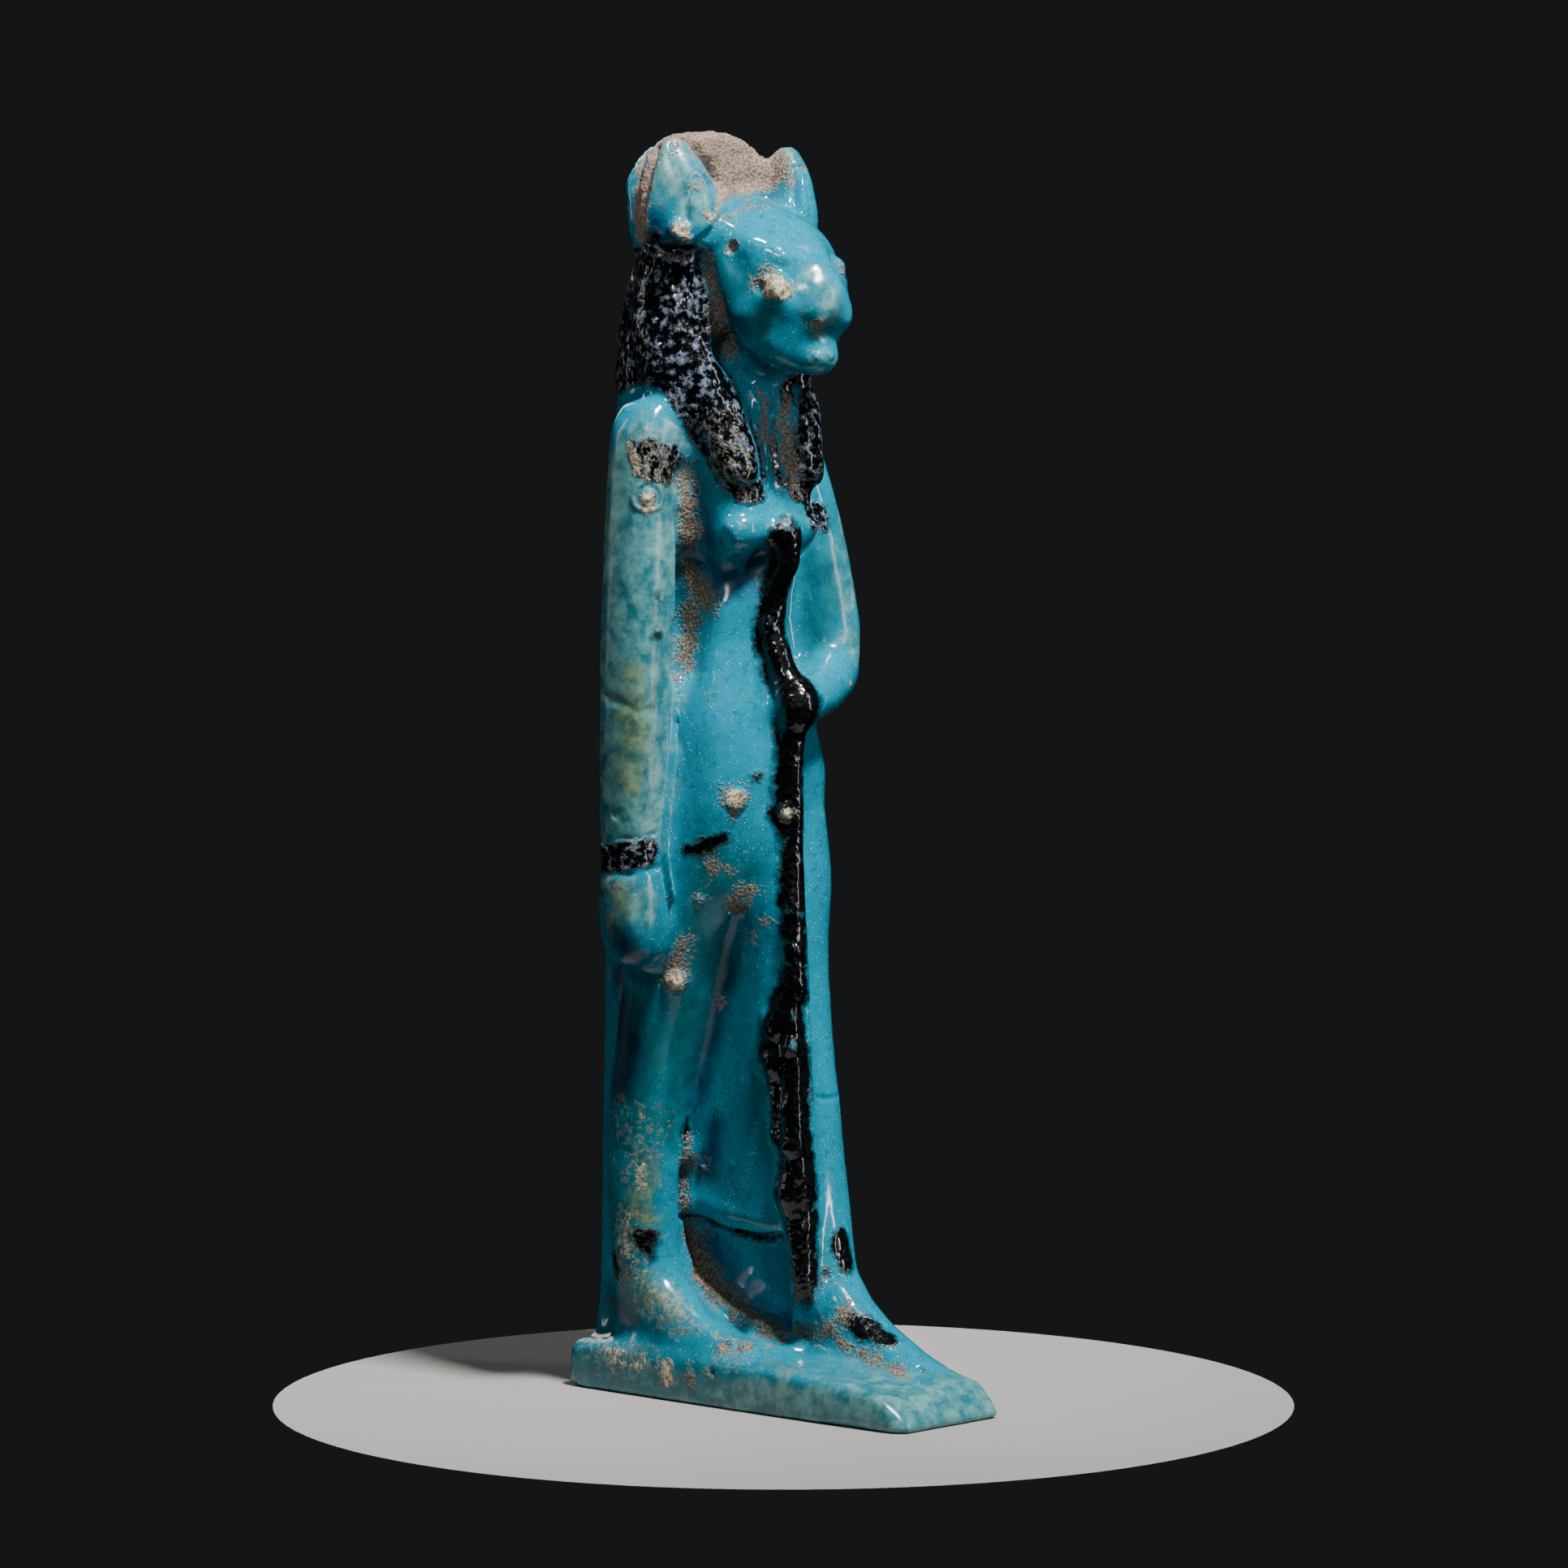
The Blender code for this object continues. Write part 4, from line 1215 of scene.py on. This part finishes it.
@dataclass(frozen=True)
class FaienceGlaze:
    """Glazed faience: an alkaline copper glaze, fired onto a ground quartz body.

    It gives a glassy, uneven turquoise that turns deep blue where it pools, and the deep blue of
    its hollows is also painted shade. Grains of quartz show in it as pale specks, which also serve
    as painted glints. The black is manganese, also laid as painted shadow under the near ear and
    the hem. Wear leaves the glaze pale and dull, and that pale coat is also laid as painted
    highlight on the muzzle and the chin. The thin green and pooled coats are also laid as painted
    shade. Soil and lime cling in the hollows. Lengths in mm are the widths of its clouds, of the
    dust in it, of its glints and of its ripples. Spacing is the room each glint has, in glints.
    """

    name: str = "fired_copper_faience_glaze"
    bright: str = "#007e9c"
    full: str = "#006472"
    deep: str = "#002c46"
    fleck: str = "#06494c"
    glint: str = "#bfe9ea"
    gloss: float = 0.12
    ior: float = 1.52
    cloud_mm: float = 3.5
    dust_mm: float = 0.5
    glint_mm: float = 0.06
    glint_spacing: float = 2.2
    glint_drift_mm: float = 2.4
    ripple_mm: float = 0.9
    ripple_height_mm: float = 0.02
    stray_grain_mm: float = 0.18
    coats: tuple[Coat, ...] = (
        # The green, pooled and black coats are also laid as painted shade and shadow, and the worn
        # coat as painted highlight.
        Coat(Layer.TEAL_AND_SHADE, ("#003c40", "#006468"), 0.32, 0.8, 2.6, 2.0, 1.6, cover=0.8),
        Coat(Layer.POOL_AND_SHADE, ("#001a30", "#003458"), 0.34, 0.5, 2.2, 1.4, 1.2, cover=0.9),
        Coat(Layer.WORN_AND_HIGHLIGHT, ("#1c5458", "#6c9c94"), 0.34, 0.8, 2.0, 1.2, 1.0, grit=0.02, cover=0.75,
             detail=6.0),
        Coat(Layer.OCHRE, ("#3c4722", "#7f8646"), 0.35, 0.6, 1.2, 1.0, 0.6, cover=0.5),
        Coat(Layer.WIG, ("#020305", "#758193"), 0.14, 0.2, 0.6, 0.25, 0.5, relief=0.02,
             grit=0.12, spread=(0.51, 0.68), detail=6.0),
        Coat(Layer.BLACK, ("#010202", "#0b0d0f"), 0.17, 0.3, 1.1, 0.4, 0.32, relief=0.02,
             grit=0.07, detail=2.0),
        Coat(Layer.LACE, ("#4a4832", "#948d70"), 0.45, 0.4, 0.4, 0.22, 0.3, relief=0.012,
             grit=0.02, cover=0.65),
        Coat(Layer.CORE, ("#5c4b40", "#9c8775"), 0.95, 0.2, 0.6, 0.3, 0.16, relief=-0.03,
             grit=0.08, grain=0.2),
        Coat(Layer.SOIL, ("#3a3026", "#8e816e"), 0.95, 0.5, 0.9, 0.5, 0.16, relief=0.02,
             grit=0.08, grain=0.5),
        Coat(Layer.CRUST, ("#5c523e", "#cdc3a4"), 0.75, 0.2, 0.6, 0.25, 0.35, relief=0.03,
             grit=0.08, grain=0.15),
    )

    def build(self) -> bpy.types.Material:
        """Builds the material.

        Returns:
            The material, whose tree ends in one Principled shader.
        """
        material = bpy.data.materials.new(self.name)
        material.use_nodes = True
        tree = material.node_tree
        shader = tree.nodes["Principled BSDF"]
        place = add_node(tree, "ShaderNodeTexCoord").outputs["Object"]
        colour, height = self._glaze(tree, place)
        rough = self.gloss
        for coat in self.coats:
            colour, rough, height = self._lay(tree, coat, place, colour, rough, height)
        bump = add_node(tree, "ShaderNodeBump", None,
                        {"Height": height, "Distance": MM, "Strength": 1.0})
        tree.links.new(colour, shader.inputs["Base Color"])
        tree.links.new(rough, shader.inputs["Roughness"])
        tree.links.new(bump.outputs["Normal"], shader.inputs["Normal"])
        shader.inputs["IOR"].default_value = self.ior
        return material

    def _glaze(self, tree: bpy.types.NodeTree, place: bpy.types.NodeSocket,
               ) -> tuple[bpy.types.NodeSocket, bpy.types.NodeSocket]:
        """Makes the bare glaze.

        Args:
            tree: the material's tree.
            place: the socket that gives the place on the piece.

        Returns:
            The sockets of its colour and of its height in mm.
        """
        cloud = add_node(tree, "ShaderNodeTexNoise", None,
                         {"Vector": place, "Scale": 1 / (self.cloud_mm * MM), "Detail": 3.0})
        body = add_node(tree, "ShaderNodeMix", {"data_type": "RGBA"},
                        {0: cloud.outputs["Fac"], 6: linear(self.full), 7: linear(self.bright)})
        # Painted shade: the glaze darkens to deep blue in hollows, partly real pooling and partly
        # the shade that falls there.
        hollow = add_node(tree, "ShaderNodeAttribute", {"attribute_name": "hollow"})
        pooling_and_shade = add_node(tree, "ShaderNodeMapRange", None,
                          {"Value": hollow.outputs["Fac"], "From Min": 0.06, "From Max": 0.45,
                           "To Max": 0.7})
        sunk = add_node(tree, "ShaderNodeMix", {"data_type": "RGBA"},
                        {0: pooling_and_shade.outputs["Result"], 6: body.outputs[2], 7: linear(self.deep)})
        dust = add_node(tree, "ShaderNodeTexNoise", None,
                        {"Vector": place, "Scale": 1 / (self.dust_mm * MM), "Detail": 4.0,
                         "Roughness": 0.7})
        dusty = add_node(tree, "ShaderNodeMapRange", None,
                         {"Value": dust.outputs["Fac"], "From Min": 0.52, "From Max": 0.72,
                          "To Max": 0.6})
        body = add_node(tree, "ShaderNodeMix", {"data_type": "RGBA"},
                        {0: dusty.outputs["Result"], 6: sunk.outputs[2], 7: linear(self.fleck)})
        # Pale quartz specks painted into the colour, which also serve as painted glints.
        cell_mm = self.glint_mm * self.glint_spacing
        cells = add_node(tree, "ShaderNodeTexVoronoi", None,
                         {"Vector": place, "Scale": 1 / (cell_mm * MM)})
        speck = add_node(tree, "ShaderNodeMapRange", None,
                         {"Value": cells.outputs["Distance"], "From Min": 0.25, "From Max": 0.1})
        split = add_node(tree, "ShaderNodeSeparateColor", None, {0: cells.outputs["Color"]})
        drift = add_node(tree, "ShaderNodeTexNoise", None,
                         {"Vector": place, "Scale": 1 / (self.glint_drift_mm * MM), "Detail": 2.0})
        thick = add_node(tree, "ShaderNodeMath", {"operation": "MULTIPLY_ADD"},
                         {0: drift.outputs["Fac"], 1: 0.6, 2: split.outputs[0]})
        chosen = add_node(tree, "ShaderNodeMapRange", None,
                          {"Value": thick.outputs[0], "From Min": 1.02, "From Max": 1.14})
        glint = add_node(tree, "ShaderNodeMath", {"operation": "MULTIPLY"},
                         {0: speck.outputs["Result"], 1: chosen.outputs["Result"]})
        lit = add_node(tree, "ShaderNodeMix", {"data_type": "RGBA"},
                       {0: glint.outputs[0], 6: body.outputs[2], 7: linear(self.glint)})
        ripple = add_node(tree, "ShaderNodeTexNoise", None,
                          {"Vector": place, "Scale": 1 / (self.ripple_mm * MM), "Detail": 1.0})
        height = add_node(tree, "ShaderNodeMath", {"operation": "MULTIPLY"},
                          {0: ripple.outputs["Fac"], 1: self.ripple_height_mm})
        return lit.outputs[2], height.outputs[0]

    def _lay(self, tree: bpy.types.NodeTree, coat: Coat, place: bpy.types.NodeSocket,
             colour: bpy.types.NodeSocket, rough: bpy.types.NodeSocket | float,
             height: bpy.types.NodeSocket) -> tuple[bpy.types.NodeSocket, ...]:
        """Lays one coat over what is there.

        Args:
            tree: the material's tree.
            coat: the coat.
            place: the socket that gives the place on the piece.
            colour: the colour under the coat.
            rough: the roughness under the coat.
            height: the height in mm under the coat.

        Returns:
            The sockets of the colour, the roughness and the height with the coat on.
        """
        depth = add_node(tree, "ShaderNodeAttribute", {"attribute_name": coat.layer.value})
        edge = add_node(tree, "ShaderNodeTexNoise", None,
                        {"Vector": place, "Scale": 1 / (coat.patch * MM), "Detail": 7.0,
                         "Roughness": 0.65})
        wander = add_node(tree, "ShaderNodeMapRange", {"clamp": False},
                          {"Value": edge.outputs["Fac"], "From Min": 0.3, "From Max": 0.7,
                           "To Min": -coat.ragged, "To Max": coat.ragged})
        inside = add_node(tree, "ShaderNodeMath", {"operation": "ADD"},
                          {0: depth.outputs["Fac"], 1: wander.outputs["Result"]})
        if coat.grain:
            sand = add_node(tree, "ShaderNodeTexNoise", None,
                            {"Vector": place, "Scale": 1 / (self.stray_grain_mm * MM),
                             "Detail": 2.0})
            stray = add_node(tree, "ShaderNodeMapRange", {"clamp": False},
                             {"Value": sand.outputs["Fac"], "From Min": 0.25, "From Max": 0.75,
                              "To Min": -coat.grain, "To Max": coat.grain})
            inside = add_node(tree, "ShaderNodeMath", {"operation": "ADD"},
                              {0: inside.outputs[0], 1: stray.outputs["Result"]})
        share = add_node(tree, "ShaderNodeMapRange", None,
                         {"Value": inside.outputs[0], "From Min": -coat.soft / 2,
                          "From Max": coat.soft / 2, "To Max": coat.cover})
        mottle = add_node(tree, "ShaderNodeTexNoise", None,
                          {"Vector": place, "Scale": 1 / (coat.speck * MM),
                           "Detail": coat.detail, "Roughness": 0.7})
        tone = add_node(tree, "ShaderNodeMapRange", None,
                        {"Value": mottle.outputs["Fac"], "From Min": coat.spread[0],
                         "From Max": coat.spread[1]})
        paint = add_node(tree, "ShaderNodeMix", {"data_type": "RGBA"},
                         {0: tone.outputs["Result"], 6: linear(coat.tones[0]),
                          7: linear(coat.tones[1])})
        over = add_node(tree, "ShaderNodeMix", {"data_type": "RGBA"},
                        {0: share.outputs["Result"], 6: colour, 7: paint.outputs[2]})
        duller = add_node(tree, "ShaderNodeMix", {"data_type": "FLOAT"},
                          {0: share.outputs["Result"], 2: rough, 3: coat.roughness})
        lumps = add_node(tree, "ShaderNodeTexNoise", None,
                         {"Vector": place, "Scale": 1 / (coat.speck * MM), "Detail": 0.5})
        grit = add_node(tree, "ShaderNodeMath", {"operation": "MULTIPLY_ADD"},
                        {0: lumps.outputs["Fac"], 1: coat.grit, 2: coat.relief})
        raised = add_node(tree, "ShaderNodeMath", {"operation": "MULTIPLY_ADD"},
                          {0: share.outputs["Result"], 1: grit.outputs[0], 2: height})
        return over.outputs[2], duller.outputs[0], raised.outputs[0]


@dataclass(frozen=True)
class Grit:
    """Loose mineral grains, broken rather than cast: dull, each a shade of its own.

    It is named for what the grains are, such as quartz sand with clay, or lime.
    """

    name: str
    tones: tuple[str, str]
    roughness: float = 0.85
    shade_mm: float = 0.35

    def build(self) -> bpy.types.Material:
        """Builds the material, whose tone drifts from grain to grain.

        Returns:
            The material.
        """
        material = bpy.data.materials.new(self.name)
        material.use_nodes = True
        tree = material.node_tree
        place = add_node(tree, "ShaderNodeTexCoord").outputs["Object"]
        drift = add_node(tree, "ShaderNodeTexNoise", None,
                         {"Vector": place, "Scale": 1 / (self.shade_mm * MM), "Detail": 3.0})
        tone = add_node(tree, "ShaderNodeMapRange", None,
                        {"Value": drift.outputs["Fac"], "From Min": 0.35, "From Max": 0.65})
        paint = add_node(tree, "ShaderNodeMix", {"data_type": "RGBA"},
                         {0: tone.outputs["Result"], 6: linear(self.tones[0]),
                          7: linear(self.tones[1])})
        shader = tree.nodes["Principled BSDF"]
        tree.links.new(paint.outputs[2], shader.inputs["Base Color"])
        shader.inputs["Roughness"].default_value = self.roughness
        return material


@dataclass
class Grains:
    """Grains that cling to one layer of the skin. Radii are in mm.

    Edge is how far inside the layer's edge the first grains lie, in mm, and crowding is how
    quickly they close up from there.
    """

    name: str
    layer: Layer
    grit: Grit
    per_mm2: float
    smallest: float
    largest: float
    edge: float
    crowding: float = 4.0
    seed: int = 7

    def _tree(self) -> bpy.types.NodeTree:
        """Builds the node tree, which scatters grains where the layer lies.

        Returns:
            The tree.
        """
        tree = bpy.data.node_groups.new(self.name, "GeometryNodeTree")
        sockets = tree.interface
        sockets.new_socket("Geometry", in_out="INPUT", socket_type="NodeSocketGeometry")
        for name in ("Grains per square metre", "Smallest radius", "Largest radius", "Edge"):
            sockets.new_socket(name, in_out="INPUT", socket_type="NodeSocketFloat")
        sockets.new_socket("Geometry", in_out="OUTPUT", socket_type="NodeSocketGeometry")
        given = add_node(tree, "NodeGroupInput").outputs
        depth = add_node(tree, "GeometryNodeInputNamedAttribute", {"data_type": "FLOAT"},
                         {"Name": self.layer.value})
        inside = add_node(tree, "ShaderNodeMath", {"operation": "SUBTRACT", "use_clamp": True},
                          {0: depth.outputs["Attribute"], 1: given["Edge"]})
        share = add_node(tree, "ShaderNodeMath", {"operation": "MULTIPLY", "use_clamp": True},
                         {0: inside.outputs[0], 1: self.crowding})
        density = add_node(tree, "ShaderNodeMath", {"operation": "MULTIPLY"},
                           {0: share.outputs[0], 1: given["Grains per square metre"]})
        points = add_node(tree, "GeometryNodeDistributePointsOnFaces", None,
                          {"Mesh": given["Geometry"], "Density": density.outputs[0],
                           "Seed": self.seed})
        turn = add_node(tree, "FunctionNodeRandomValue", {"data_type": "FLOAT_VECTOR"},
                        {0: (0.0, 0.0, 0.0), 1: (math.tau, math.tau, math.tau), 8: self.seed + 1})
        size = add_node(tree, "FunctionNodeRandomValue", {"data_type": "FLOAT_VECTOR"},
                        {0: given["Smallest radius"], 1: given["Largest radius"],
                         8: self.seed + 2})
        grain = add_node(tree, "GeometryNodeMeshIcoSphere", None,
                         {"Radius": 1.0, "Subdivisions": 1})
        placed = add_node(tree, "GeometryNodeInstanceOnPoints", None,
                          {"Points": points.outputs["Points"], "Instance": grain.outputs["Mesh"],
                           "Rotation": turn.outputs[0], "Scale": size.outputs[0]})
        real = add_node(tree, "GeometryNodeRealizeInstances", None,
                        {"Geometry": placed.outputs["Instances"]})
        dressed = add_node(tree, "GeometryNodeSetMaterial", None,
                           {"Geometry": real.outputs["Geometry"], "Material": self.grit.build()})
        add_node(tree, "NodeGroupOutput", None, {"Geometry": dressed.outputs["Geometry"]})
        return tree

    def build(self, figure: bpy.types.Object) -> bpy.types.Object:
        """Scatters the grains over the figure.

        Args:
            figure: the finished figure, whose mesh holds the layers.

        Returns:
            The grains as one plain piece.
        """
        holder = bpy.data.objects.new(self.name, figure.data.copy())
        bpy.context.scene.collection.objects.link(holder)
        scatter = holder.modifiers.new("scatter", "NODES")
        scatter.node_group = self._tree()
        values = {"Grains per square metre": self.per_mm2 / MM ** 2,
                  "Smallest radius": self.smallest * MM, "Largest radius": self.largest * MM,
                  "Edge": self.edge}
        for item in scatter.node_group.interface.items_tree:
            if item.in_out == "INPUT" and item.name in values:
                scatter[item.identifier] = values[item.name]
        graph = bpy.context.evaluated_depsgraph_get()
        mesh = bpy.data.meshes.new_from_object(holder.evaluated_get(graph))
        holder.modifiers.remove(scatter)
        holder.data = mesh
        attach(holder, BODY)
        log.info("%s: %d triangles", self.name, len(mesh.polygons))
        return holder


@dataclass
class Figure:
    """The whole moulded figure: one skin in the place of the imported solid.

    Its surface is a little wavy, as moulded paste is. Fill rounds is how far the thick glaze
    rounds a corner that it filled.
    """

    regions: list[Region] = field(default_factory=list)
    glaze: FaienceGlaze = FaienceGlaze()
    wave_mm: float = 2.2
    wave_height_mm: float = 0.035
    fill_rounds: int = 110

    def build(self, node: bpy.types.Object, lens: Lens) -> bpy.types.Object:
        """Carves, paints and dresses the figure.

        Args:
            node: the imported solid's object.
            lens: the photograph's camera.

        Returns:
            The figure's piece.
        """
        skin = Skin(node, lens)
        marks = [mark for region in self.regions for mark in region.fine_marks(skin)]
        skin.refine(marks)
        waves = skin.uneven(self.wave_mm, 3.0, 2) * self.wave_height_mm
        skin.points += waves[:, None] * skin.normals
        filled = skin.averaged(skin.points, self.fill_rounds)
        for region in self.regions:
            region.fill(skin, filled)
        for region in self.regions:
            region.carve(skin)
        skin.begin_paint()
        for region in self.regions:
            region.paint(skin)
            log.info("%s: %d knobs, %d lines, %d stains", region.name, len(region.knobs),
                     len(region.lines), len(region.stains))
        mesh = skin.finish_mesh()
        mesh.materials.clear()
        mesh.materials.append(self.glaze.build())
        piece = bpy.data.objects.new("glazed_figure", mesh)
        bpy.context.scene.collection.objects.link(piece)
        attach(piece, BODY)
        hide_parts(NODE)
        mesh.calc_loop_triangles()
        log.info("glazed_figure: %d triangles", len(mesh.loop_triangles))
        return piece


@dataclass(frozen=True)
class Board:
    """Matt painted board under the figure: pale, with no gloss that would draw the eye."""

    name: str = "matt_pale_board"
    colour: str = "#8d8b87"
    roughness: float = 0.9

    def build(self) -> bpy.types.Material:
        """Builds the material.

        Returns:
            The material.
        """
        material = bpy.data.materials.new(self.name)
        material.use_nodes = True
        shader = material.node_tree.nodes["Principled BSDF"]
        shader.inputs["Base Color"].default_value = linear(self.colour)
        shader.inputs["Roughness"].default_value = self.roughness
        return material


@dataclass(frozen=True)
class Lamp:
    """A soft box. All its lengths are in mm, and its beam is in degrees.

    Its place is given from the figure's middle: to the photograph's right, upwards and towards
    the camera. It shines on the figure's axis, aim above the middle.
    """

    name: str
    right: float
    above: float
    towards: float
    width: float
    height: float
    watts: float
    beam: float
    aim: float = 0.0


@dataclass
class Studio:
    """A plain pale floor and soft light from above, from the right and behind, and on the face."""

    floor_radius: float = 30.0
    floor_sides: int = 96
    board: Board = Board()
    sky_colour: str = "#dfe3e8"
    sky: float = 0.015
    lamps: tuple[Lamp, ...] = (
        Lamp("key_light", 110, 365, 160, 56, 56, 0.22, 34, 28),
        Lamp("face_light", -150, 195, 330, 90, 60, 0.007, 14, 32),
        Lamp("right_strip", 300, 50, 120, 12, 260, 0.13, 100),
        Lamp("left_strip", -300, 90, -60, 18, 220, 0.02, 100),
        Lamp("back_fill", -140, 220, -380, 200, 200, 0.16, 120),
        Lamp("front_fill", 60, 140, 420, 260, 260, 0.03, 120),
    )

    def build(self, lens: Lens) -> None:
        """Builds the floor, the sky and the lamps.

        Args:
            lens: the photograph's camera, which the lamps are placed by.
        """
        self._build_floor()
        world = bpy.data.worlds.new("soft_sky")
        world.use_nodes = True
        background = world.node_tree.nodes["Background"]
        background.inputs["Color"].default_value = linear(self.sky_colour)
        background.inputs["Strength"].default_value = self.sky
        bpy.context.scene.world = world
        middle = Vector(lens.target) * MM
        for lamp in self.lamps:
            data = bpy.data.lights.new(lamp.name, "AREA")
            data.shape = "RECTANGLE"
            data.size = lamp.width * MM
            data.size_y = lamp.height * MM
            data.energy = lamp.watts
            data.spread = math.radians(lamp.beam)
            light = bpy.data.objects.new(lamp.name, data)
            offset = (lens.right() * lamp.right + UP * lamp.above + lens.back() * lamp.towards)
            light.location = middle + Vector(offset) * MM
            beam = middle + Vector(UP) * lamp.aim * MM - light.location
            light.rotation_euler = beam.to_track_quat("-Z", "Y").to_euler()
            bpy.context.scene.collection.objects.link(light)

    def _build_floor(self) -> None:
        """Builds the floor, a round piece of board."""
        board = bmesh.new()
        bmesh.ops.create_circle(board, cap_ends=True, segments=self.floor_sides,
                                radius=self.floor_radius * MM)
        mesh = bpy.data.meshes.new("floor")
        board.to_mesh(mesh)
        board.free()
        mesh.materials.append(self.board.build())
        floor = bpy.data.objects.new("floor", mesh)
        bpy.context.scene.collection.objects.link(floor)


def main() -> None:
    """Builds the studio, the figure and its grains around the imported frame."""
    logging.basicConfig(level=logging.INFO, format="%(message)s")
    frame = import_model()
    lens = Lens()
    lens.add_camera()
    Studio().build(lens)
    figure = Figure(regions=head_regions() + body_regions() + lower_regions())
    piece = figure.build(frame["nodes"][NODE], lens)
    sand = Grit("quartz_sand_and_clay", ("#3e3226", "#a4957e"))
    lime = Grit("lime_crumbs", ("#5f543e", "#c6bb9a"))
    Grains("soil_grains", Layer.SOIL, sand, 70.0, 0.016, 0.045, edge=0.4).build(piece)
    Grains("core_grains", Layer.CORE, sand, 25.0, 0.02, 0.05, edge=0.4).build(piece)
    Grains("crust_crumbs", Layer.CRUST, lime, 60.0, 0.02, 0.06, edge=0.5).build(piece)


if __name__ == "__main__":
    main()
